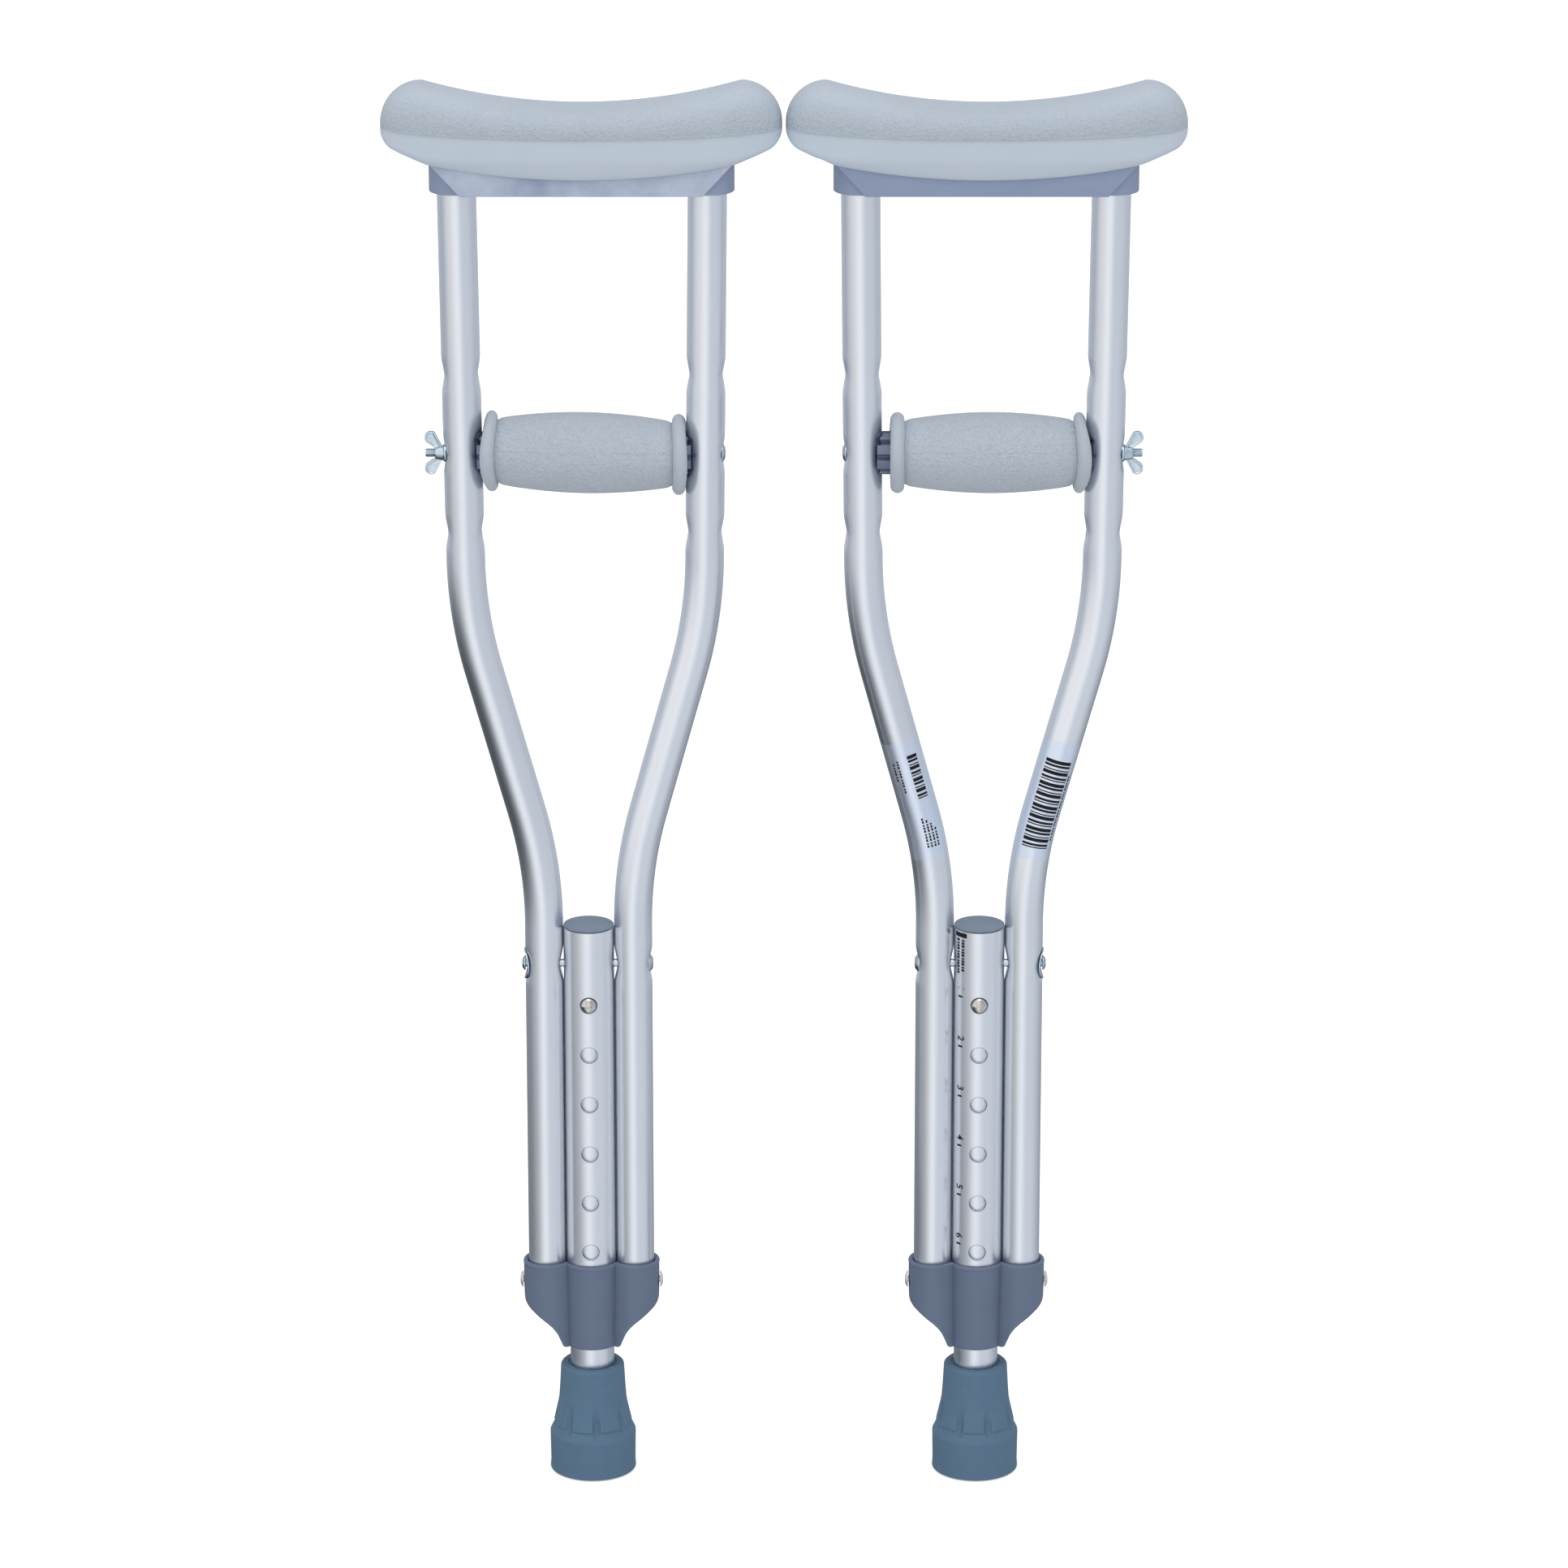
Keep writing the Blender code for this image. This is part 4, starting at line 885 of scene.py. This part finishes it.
def slab(to_surface, across, along, thickness, columns, rows):
    """A thin curved sheet; to_surface turns (across, along, height) into a point."""
    lefts = np.linspace(*across, columns + 1)
    rings = []
    for s in np.linspace(*along, rows + 1):
        outer = [to_surface(a, s, thickness) for a in lefts]
        inner = [to_surface(a, s, 0.0) for a in reversed(lefts)]
        rings.append(outer + inner)
    return skin(rings)


def on_centre_tube(crutch):
    """Maps (millimetres round from the front, height) onto the centre tube."""
    radius = crutch.box("centre_tube")[1].y + CENTRE_SWELL + 0.03
    return lambda across, z, height: on_wall(radius, across, z, height, 0.0, 0.0, 1)


def on_side_tube(direction):
    """Maps (millimetres round from the front, height) onto a side tube."""
    radius = SIDE_RADIUS + 0.03
    return lambda across, z, height: on_wall(radius, across, z, height, *tube_axis(z), direction)


def on_wall(radius, across, z, height, offset, lean, direction):
    """A point height above a tube's wall, across millimetres round from its front."""
    angle = across / radius
    reach = radius + height
    sideways = reach * math.sin(angle)
    return (direction * offset + sideways * math.cos(lean), -reach * math.cos(angle),
            z - direction * sideways * math.sin(lean))


def numeral(text, size, centre, to_surface, thickness):
    """A numeral that reads down the tube, wrapped onto it."""
    curve = bpy.data.curves.new("numeral", "FONT")
    curve.body = text
    curve.size = size
    curve.align_x = curve.align_y = "CENTER"
    curve.offset = 0.06
    curve.extrude = 0.5
    letter = bpy.data.objects.new("numeral", curve)
    bpy.context.collection.objects.link(letter)
    bpy.context.view_layer.update()
    mesh = bpy.data.meshes.new_from_object(letter.evaluated_get(bpy.context.evaluated_depsgraph_get()))
    bpy.data.objects.remove(letter)
    points = []
    for vertex in mesh.vertices:
        x, y, z = vertex.co
        points.append(to_surface(centre[0] + y, centre[1] - x, thickness if z > 0 else 0.0))
    return np.array(points, float), [list(face.vertices) for face in mesh.polygons]


def dashes(to_surface, middle, width, span, ink):
    """A row of short dashes along the tube, in place of a line of small print."""
    shapes = []
    for i, z in enumerate(np.arange(span[0], span[1], 1.5)):
        length = (1.1, 0.8, 1.2)[i % 3]
        across = (middle - width / 2, middle + width / 2)
        shapes.append(slab(to_surface, across, (z, z + length), ink, 2, 1))
    return shapes


def height_scale(crutch):
    """Printed scale beside the adjusting holes: a block, two dashed lines and a numeral per hole."""
    to_surface = on_centre_tube(crutch)
    top = crutch.box("centre_tube")[1].z
    ink = 0.04
    shapes = [slab(to_surface, (-14.2, -6.6), (top - 3.4, top - 1.2), ink, 8, 1)]
    for middle, length in ((-8.8, 16.0), (-11.9, 17.5)):
        shapes += dashes(to_surface, middle, 1.7, (top - 4.5 - length, top - 4.5), ink)
    for i in range(HOLE_COUNT):
        z = crutch.button_z - HOLE_PITCH * i + 7.6
        shapes.append(numeral(str(i + 1), 5.6, (-10.0, z), to_surface, ink))
        shapes.append(slab(to_surface, (-11.6, -8.8), (z - 4.6, z - 3.7), ink, 4, 1))
    obj = make_object("scale", join(*shapes))
    crutch.add("height_scale", obj, "frame", "aluminium", material="ink")


def striped_label(crutch, name, direction, stripe_span, across, small_print):
    """A glossy film on a side tube with a band of stripes across it and rows of dashes."""
    to_surface = on_side_tube(direction)
    film = make_object("film", slab(to_surface, (-12.0, 12.0), (316.0, 374.0), 0.05, 24, 40))
    paint_tube(film, direction)
    crutch.add(f"{name}_label_film", film, "frame", "aluminium", material="label_film")
    ink, thin_stripe, thin_gap = 0.09, 0.55, 0.5
    shapes = []
    z = stripe_span[0]
    while z <= stripe_span[1]:
        count = len(shapes)
        width = thin_stripe * (1 + count * 7 % 3)
        shapes.append(slab(to_surface, across, (z, z + width), ink, 10, 1))
        z += width + thin_gap * (1 + count * 5 % 2)
    for middle, span in small_print:
        shapes += dashes(to_surface, middle, 0.9, span, ink)
    stripes = make_object("stripes", join(*shapes))
    crutch.add(f"{name}_label_stripes", stripes, "frame", "aluminium", material="ink")


# ---------------------------------------------------------------- materials

class NodeTree:
    """Short calls for building a node tree."""

    def __init__(self, tree):
        self.tree = tree

    def add(self, kind, inputs=None, **settings):
        """Add a node, with its inputs given as values or as sockets to link."""
        node = self.tree.nodes.new(kind)
        for key, value in settings.items():
            setattr(node, key, value)
        for key, value in (inputs or {}).items():
            self.feed(node.inputs[key], value)
        return node

    def feed(self, socket, value):
        """Link a socket or set its value."""
        if isinstance(value, bpy.types.NodeSocket):
            self.tree.links.new(value, socket)
        else:
            socket.default_value = value

    def attribute(self, name):
        return self.add("ShaderNodeAttribute", attribute_name=name)

    def stretch(self, vector, scale):
        return self.add("ShaderNodeMapping", {"Vector": vector, "Scale": scale}).outputs[0]

    def noise(self, vector, scale, detail=3.0, roughness=0.5):
        inputs = {"Vector": vector, "Scale": scale, "Detail": detail, "Roughness": roughness}
        return self.add("ShaderNodeTexNoise", inputs).outputs[0]

    def maths(self, operation, a, b=0.0):
        return self.add("ShaderNodeMath", {0: a, 1: b}, operation=operation).outputs[0]

    def span(self, value, low, high, from_low=0.0, from_high=1.0):
        inputs = {"Value": value, "From Min": from_low, "From Max": from_high,
                  "To Min": low, "To Max": high}
        return self.add("ShaderNodeMapRange", inputs).outputs[0]

    def blend(self, share, first, second):
        """Blend two colours, each a socket or four numbers."""
        return self.add("ShaderNodeMix", {0: share, 6: first, 7: second}, data_type="RGBA").outputs[2]

    def mix(self, share, first, second):
        return self.blend(share, (*first, 1), (*second, 1))

    def bump(self, height, distance, strength=1.0, normal=None):
        inputs = {"Height": height, "Distance": distance, "Strength": strength}
        if normal:
            inputs["Normal"] = normal
        return self.add("ShaderNodeBump", inputs).outputs[0]


class Nodes(NodeTree):
    """The node tree of a new material."""

    def __init__(self, name):
        self.material = bpy.data.materials.new(name)
        self.material.use_nodes = True
        super().__init__(self.material.node_tree)
        self.shader = self.tree.nodes["Principled BSDF"]
        self.place = self.add("ShaderNodeTexCoord").outputs["Object"]

    def set(self, **inputs):
        """Feed the Principled shader; underscores stand for spaces."""
        for key, value in inputs.items():
            self.feed(self.shader.inputs[key.replace("_", " ")], value)


def anodised_aluminium():
    """Satin drawn tube: fine streaks along its length and a faint cloudiness."""
    n = Nodes("satin_anodised_aluminium")
    along = n.attribute("along").outputs["Vector"]
    streaks = n.noise(n.stretch(along, (5.0, 5.0, 0.03)), 1.0, 4, 0.6)
    clouds = n.noise(n.place, 35.0, 3)
    specks = n.noise(n.place, 2600.0, 2)
    tone = n.maths("ADD", n.maths("MULTIPLY", streaks, 0.5), n.maths("MULTIPLY", clouds, 0.5))
    n.set(Metallic=1.0, Base_Color=n.mix(tone, (0.78, 0.81, 0.86), (0.88, 0.90, 0.94)),
          Roughness=n.span(streaks, 0.27, 0.37),
          Normal=n.bump(specks, 0.00002, 0.35))
    return n.material


def rivet_aluminium():
    """Pale tumbled aluminium."""
    n = Nodes("tumbled_rivet_aluminium")
    spots = n.noise(n.place, 900.0, 4, 0.6)
    n.set(Metallic=0.85, Base_Color=n.mix(spots, (0.80, 0.81, 0.84), (0.95, 0.95, 0.96)),
          Roughness=n.span(spots, 0.30, 0.46), Normal=n.bump(spots, 0.00006, 0.3))
    return n.material


def leather_grain(n, cell, strength):
    """Height of a moulded leather grain: winding wrinkles between small cells."""
    warp = n.noise(n.place, 420.0, 2)
    shift = n.add("ShaderNodeCombineXYZ", {0: warp, 1: warp, 2: warp}).outputs[0]
    moved = n.add("ShaderNodeVectorMath", {0: shift, 1: (0.0012, 0.0012, 0.0012), 2: n.place},
                  operation="MULTIPLY_ADD").outputs[0]
    cells = n.add("ShaderNodeTexVoronoi", {"Vector": moved, "Scale": 1 / cell},
                  feature="SMOOTH_F1").outputs["Distance"]
    worms = n.noise(moved, 0.75 / cell, 2, 0.6)
    ridge = n.maths("ABSOLUTE", n.maths("SUBTRACT", worms, 0.5))
    height = n.maths("ADD", n.maths("MULTIPLY", cells, 0.7), n.maths("MULTIPLY", ridge, 2.2))
    return n.maths("MULTIPLY", height, strength)


def moulded_foam(name, low_colour, high_colour, smooth_value):
    """Skinned foam: leather grain with painted shade in its hollows where the mesh asks for it, smooth
    elsewhere.
    """
    n = Nodes(name)
    grain = n.attribute("grain").outputs["Fac"]
    height = leather_grain(n, GRAIN_CELL, grain)
    clouds = n.noise(n.place, 45.0, 4, 0.55)
    fine = n.noise(n.place, 4200.0, 2)
    skin_colour = n.mix(clouds, low_colour, high_colour)
    # Painted shade: the grain's hollows are darkened toward a dark blue-grey.
    crease_shade = n.maths("MULTIPLY", n.span(height, 0.065, 0.0, 0.15, 0.65), grain)
    colour = n.blend(crease_shade, skin_colour, (0.10, 0.12, 0.14, 1))
    # Smooth skin is brightened or darkened by smooth_value; on the pad's skirt the extra brightness is
    # painted light from below.
    value = n.span(grain, smooth_value, 1.0)
    shade = n.add("ShaderNodeHueSaturation", {"Color": colour, "Value": value})
    grained = n.bump(height, 0.0007, 0.9)
    n.set(Base_Color=shade.outputs[0], Roughness=n.span(clouds, 0.50, 0.62),
          Normal=n.bump(fine, 0.00003, 0.4, grained), Sheen_Weight=0.12, Sheen_Roughness=0.5,
          Specular_IOR_Level=0.38)
    return n.material


def moulded_plastic(name, low_colour, high_colour, with_painted_sheen=False):
    """Moulded plastic with soft flow marks, edges rubbed a little paler, and pale patches of painted
    sheen where the mesh asks for them.
    """
    n = Nodes(name)
    flow = n.noise(n.stretch(n.place, (40.0, 40.0, 110.0)), 1.0, 4, 0.6)
    fine = n.noise(n.place, 1900.0, 3)
    worn = n.span(n.add("ShaderNodeNewGeometry").outputs["Pointiness"], 0.0, 1.0, 0.52, 0.62)
    body = n.mix(flow, low_colour, high_colour)
    colour = n.blend(n.maths("MULTIPLY", worn, 0.30), body, (0.34, 0.37, 0.46, 1))
    if with_painted_sheen:
        # Painted sheen: pale blue patches, where the mesh's attribute asks for them.
        patches = n.span(n.noise(n.place, 24.0, 5, 0.6), 0.1, 1.0, 0.38, 0.62)
        painted_sheen = n.maths("MULTIPLY", n.attribute("painted_sheen").outputs["Fac"], patches)
        colour = n.blend(n.maths("MULTIPLY", painted_sheen, 0.55), colour, (0.62, 0.68, 0.80, 1))
    n.set(Base_Color=colour, Roughness=n.span(flow, 0.38, 0.52), Normal=n.bump(fine, 0.00005, 0.4))
    return n.material


def moulded_rubber():
    """Blue-grey rubber, slightly dusty, with a few pale scuffs."""
    n = Nodes("blue_grey_tip_rubber")
    dust = n.noise(n.place, 160.0, 5, 0.65)
    fine = n.noise(n.place, 2400.0, 4, 0.6)
    scuffs = n.span(n.noise(n.stretch(n.place, (500.0, 500.0, 260.0)), 1.0, 3, 0.7), 0, 1, 0.68, 0.76)
    worn = n.span(n.add("ShaderNodeNewGeometry").outputs["Pointiness"], 0.0, 1.0, 0.52, 0.60)
    body = n.mix(dust, (0.068, 0.137, 0.220), (0.090, 0.172, 0.262))
    pale = n.maths("MULTIPLY", n.maths("MAXIMUM", scuffs, worn), 0.32)
    colour = n.blend(pale, body, (0.32, 0.43, 0.50, 1))
    n.set(Base_Color=colour, Roughness=n.span(dust, 0.55, 0.72), Normal=n.bump(fine, 0.00007, 0.5))
    return n.material


def plated_steel(name, dark, bright, roughness, texture, rim=0.0):
    """Plated steel with a mottle, texture metres deep; rim paints dark reflections where the surface
    is seen at a slant.
    """
    n = Nodes(name)
    mottle = n.noise(n.place, 750.0, 4, 0.6)
    # Painted reflection: where the surface is seen at a slant it is darkened toward near black, as far
    # as rim asks.
    slant = n.add("ShaderNodeLayerWeight", {"Blend": 0.5}).outputs["Facing"]
    share = n.maths("MULTIPLY", n.span(slant, 0.0, 1.0, 0.25, 0.85), rim)
    colour = n.blend(share, n.mix(mottle, dark, bright), (0.05, 0.06, 0.07, 1))
    n.set(Metallic=1.0, Base_Color=colour, Roughness=n.span(mottle, *roughness),
          Normal=n.bump(mottle, texture, 0.4))
    return n.material


def printed_ink():
    """Black print, a little uneven."""
    n = Nodes("black_print")
    spots = n.noise(n.place, 3000.0, 2)
    n.set(Base_Color=n.mix(spots, (0.006, 0.006, 0.008), (0.018, 0.018, 0.022)),
          Roughness=n.span(spots, 0.6, 0.75), Specular_IOR_Level=0.15)
    return n.material


def label_film():
    """Glossy label film, drawn opaque: its colour stands for the tube seen through it."""
    n = Nodes("glossy_label_film")
    ripple = n.noise(n.stretch(n.attribute("along").outputs["Vector"], (0.3, 0.3, 0.08)), 1.0, 2)
    n.set(Metallic=0.9, Base_Color=n.mix(ripple, (0.70, 0.77, 0.90), (0.80, 0.86, 0.96)),
          Roughness=n.span(ripple, 0.30, 0.38), Coat_Weight=0.3)
    return n.material


def make_materials():
    return {
        "aluminium": anodised_aluminium(),
        "rivet_aluminium": rivet_aluminium(),
        # The pad foam's smooth skirt is drawn 1.17 times brighter: painted light from below.
        "pad_foam": moulded_foam("blue_grey_pad_foam", (0.38, 0.44, 0.51), (0.42, 0.48, 0.55), 1.17),
        "grip_foam": moulded_foam("blue_grey_grip_foam", (0.42, 0.475, 0.54), (0.46, 0.52, 0.585),
                                  0.93),
        "grey_plastic": moulded_plastic("blue_grey_plastic", (0.098, 0.132, 0.210),
                                        (0.120, 0.160, 0.245)),
        # The cradle plastic is drawn lighter than the other blue-grey plastic: painted reflection of
        # the bright floor on its front.
        "cradle_plastic_painted_light": moulded_plastic("blue_grey_cradle_plastic", (0.21, 0.265, 0.40),
                                          (0.262, 0.325, 0.472), with_painted_sheen=True),
        "cap_plastic": moulded_plastic("grey_cap_plastic", (0.155, 0.205, 0.28), (0.19, 0.24, 0.32)),
        # Painted shade: the dark colour of the button-hole rings stands for the shade inside the deep
        # holes.
        "hole_shade": plated_steel("painted_hole_shade", (0.24, 0.27, 0.31), (0.32, 0.36, 0.41),
                                  (0.5, 0.7), 0.00002),
        "tip_rubber": moulded_rubber(),
        # Zinc: half of the dark rim seen at a slant is painted reflection.
        "zinc_steel": plated_steel("bright_zinc_steel", (0.36, 0.48, 0.58), (0.86, 0.92, 0.95),
                                   (0.16, 0.30), 0.00008, 0.5),
        # Chrome: its mottle of dark and bright patches is painted reflection, and almost all of its
        # rim seen at a slant is painted dark reflection.
        "chrome": plated_steel("nickel_chrome", (0.26, 0.23, 0.21), (0.95, 0.91, 0.87),
                               (0.05, 0.10), 0.00002, 0.97),
        "spring_steel": plated_steel("spring_steel", (0.36, 0.36, 0.37), (0.52, 0.51, 0.50),
                                     (0.25, 0.40), 0.00003),
        "ink": printed_ink(),
        "label_film": label_film(),
    }


# ---------------------------------------------------------------- stage

def make_floor():
    """A plain white floor that mirrors don't see, so that the tubes reflect only the surround."""
    bpy.ops.mesh.primitive_plane_add(size=40, location=(0, 10, -0.0005))
    floor = bpy.context.object
    floor.name = "floor"
    n = Nodes("white_floor")
    seen = n.add("ShaderNodeLightPath").outputs["Is Camera Ray"]
    n.set(Base_Color=(0.86, 0.86, 0.86, 1), Roughness=1.0, Specular_IOR_Level=0.0,
          Emission_Color=(1, 1, 1, 1), Emission_Strength=n.maths("MULTIPLY", seen, FLOOR_GLOW))
    floor.data.materials.append(n.material)
    floor.visible_glossy = False


def brightness_ramp(n, position, stops):
    """Brightness round the horizon from (degrees, level) stops, bluer where it is dark."""
    ramp = n.add("ShaderNodeValToRGB", {0: position})
    ramp.color_ramp.interpolation = "B_SPLINE"
    elements = ramp.color_ramp.elements
    for angle, level in stops:
        place = angle / 360 + 0.5
        element = elements.new(place) if 0 < place < 1 else elements[0 if place == 0 else -1]
        element.position = place
        bluer = 0.09 * (1 - min(level, 1.0))
        element.color = (level * (0.95 - bluer), level * 0.98, level * (1.04 + bluer), 1)
    return ramp.outputs[0]


def make_world():
    """Studio surround: upright bright and dark zones for mirrors, and an even glow for the rest.

    Azimuth 0 is behind the camera. The zones differ for rays that head further down, which are
    the ones the lower tubes reflect.
    """
    world = bpy.data.worlds.new("studio")
    bpy.context.scene.world = world
    world.use_nodes = True
    world.node_tree.nodes.clear()
    n = NodeTree(world.node_tree)
    direction = n.add("ShaderNodeTexCoord").outputs["Generated"]
    split = n.add("ShaderNodeSeparateXYZ", {0: direction})
    forward = n.maths("MULTIPLY", split.outputs["Y"], -1.0)
    azimuth = n.maths("ARCTAN2", split.outputs["X"], forward)
    position = n.maths("ADD", n.maths("DIVIDE", azimuth, math.tau), 0.5)
    upper = brightness_ramp(n, position, UPPER_ZONES)
    lower = brightness_ramp(n, position, LOWER_ZONES)
    zones = n.blend(n.span(split.outputs["Z"], 0.0, 1.0, *LOWER_ZONE_SLOPES), upper, lower)
    from_front = n.maths("MULTIPLY", n.maths("MAXIMUM", forward, 0.0), GLOW_FROM_FRONT)
    glow = n.maths("ADD", from_front, GLOW)
    reflected = n.add("ShaderNodeLightPath").outputs["Is Glossy Ray"]
    surround = n.add("ShaderNodeBackground", {"Color": n.blend(reflected, glow, zones)})
    n.add("ShaderNodeOutputWorld", {"Surface": surround.outputs[0]})


def make_light(name, location, size, power):
    """A large soft area light that faces the middle of the crutches."""
    light = bpy.data.lights.new(name, "AREA")
    light.shape = "RECTANGLE"
    light.size, light.size_y = size
    light.energy = power
    obj = bpy.data.objects.new(name, light)
    bpy.context.collection.objects.link(obj)
    obj.location = location
    obj.rotation_euler = (Vector((0, 0, LIGHT_AIM)) - obj.location).to_track_quat("-Z", "Y").to_euler()


def make_camera():
    """The camera looks slightly down at the middle of the pair."""
    camera = bpy.data.cameras.new("camera")
    camera.lens = CAMERA_LENS
    camera.clip_end = 100
    obj = bpy.data.objects.new("camera", camera)
    bpy.context.collection.objects.link(obj)
    back = CAMERA_DISTANCE * math.cos(CAMERA_ELEVATION)
    up = CAMERA_DISTANCE * math.sin(CAMERA_ELEVATION)
    obj.location = (0, -back, CAMERA_AIM + up)
    obj.rotation_euler = (math.pi / 2 - CAMERA_ELEVATION, 0, 0)
    bpy.context.scene.camera = obj


# ---------------------------------------------------------------- assembly

def build(crutch):
    """All pieces of one crutch. The washer in the tip stays as it is in the CAD."""
    for name, direction in (("outer", 1), ("inner", -1)):
        side_tube(crutch, name, direction)
        collar_rivet(crutch, name, direction)
    straight_tube(crutch, "centre_tube", "frame", HOLE_COUNT, cross_hole=True)
    straight_tube(crutch, "extension_tube", "leg", 1, cross_hole=False)
    for piece in (centre_tube_cap, frame_rivet, frame_rivet_washer, collar, pad_cradle, underarm_pad,
                  rubber_tip, snap_button, snap_spring, grip_bolt, grip_core, grip_sleeve,
                  wing_nut):
        piece(crutch)
    mesh = crutch.nodes[f"{crutch.name}_tip_washer"].data
    mesh.materials.clear()
    mesh.materials.append(crutch.materials["zinc_steel"])


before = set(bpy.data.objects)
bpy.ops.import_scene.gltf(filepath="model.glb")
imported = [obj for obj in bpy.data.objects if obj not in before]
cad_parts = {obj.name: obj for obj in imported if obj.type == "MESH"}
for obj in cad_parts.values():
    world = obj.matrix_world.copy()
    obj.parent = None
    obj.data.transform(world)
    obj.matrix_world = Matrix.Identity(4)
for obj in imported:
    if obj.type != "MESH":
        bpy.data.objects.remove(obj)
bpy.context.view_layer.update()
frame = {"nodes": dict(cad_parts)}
materials = make_materials()
left = Crutch("left", -1, frame["nodes"], materials)
right = Crutch("right", 1, frame["nodes"], materials)
build(left)
build(right)
height_scale(right)
striped_label(right, "outer_tube", 1, (322.0, 366.0), (-6.2, 6.8), [(8.2, (326.0, 358.0))])
striped_label(right, "inner_tube", -1, (346.0, 367.0), (1.6, 6.8),
              [(-3.5, (350.0, 366.0)), (-6.0, (356.0, 364.0)), (0.5, (322.0, 337.0)),
               (2.3, (322.0, 335.0)), (4.1, (322.0, 333.0)), (5.9, (322.0, 331.0))])
make_floor()
make_world()
make_light("top_light", location=(0.0, -0.6, 2.4), size=(1.6, 1.0), power=10)
make_camera()
bpy.context.scene.view_settings.view_transform = "Standard"
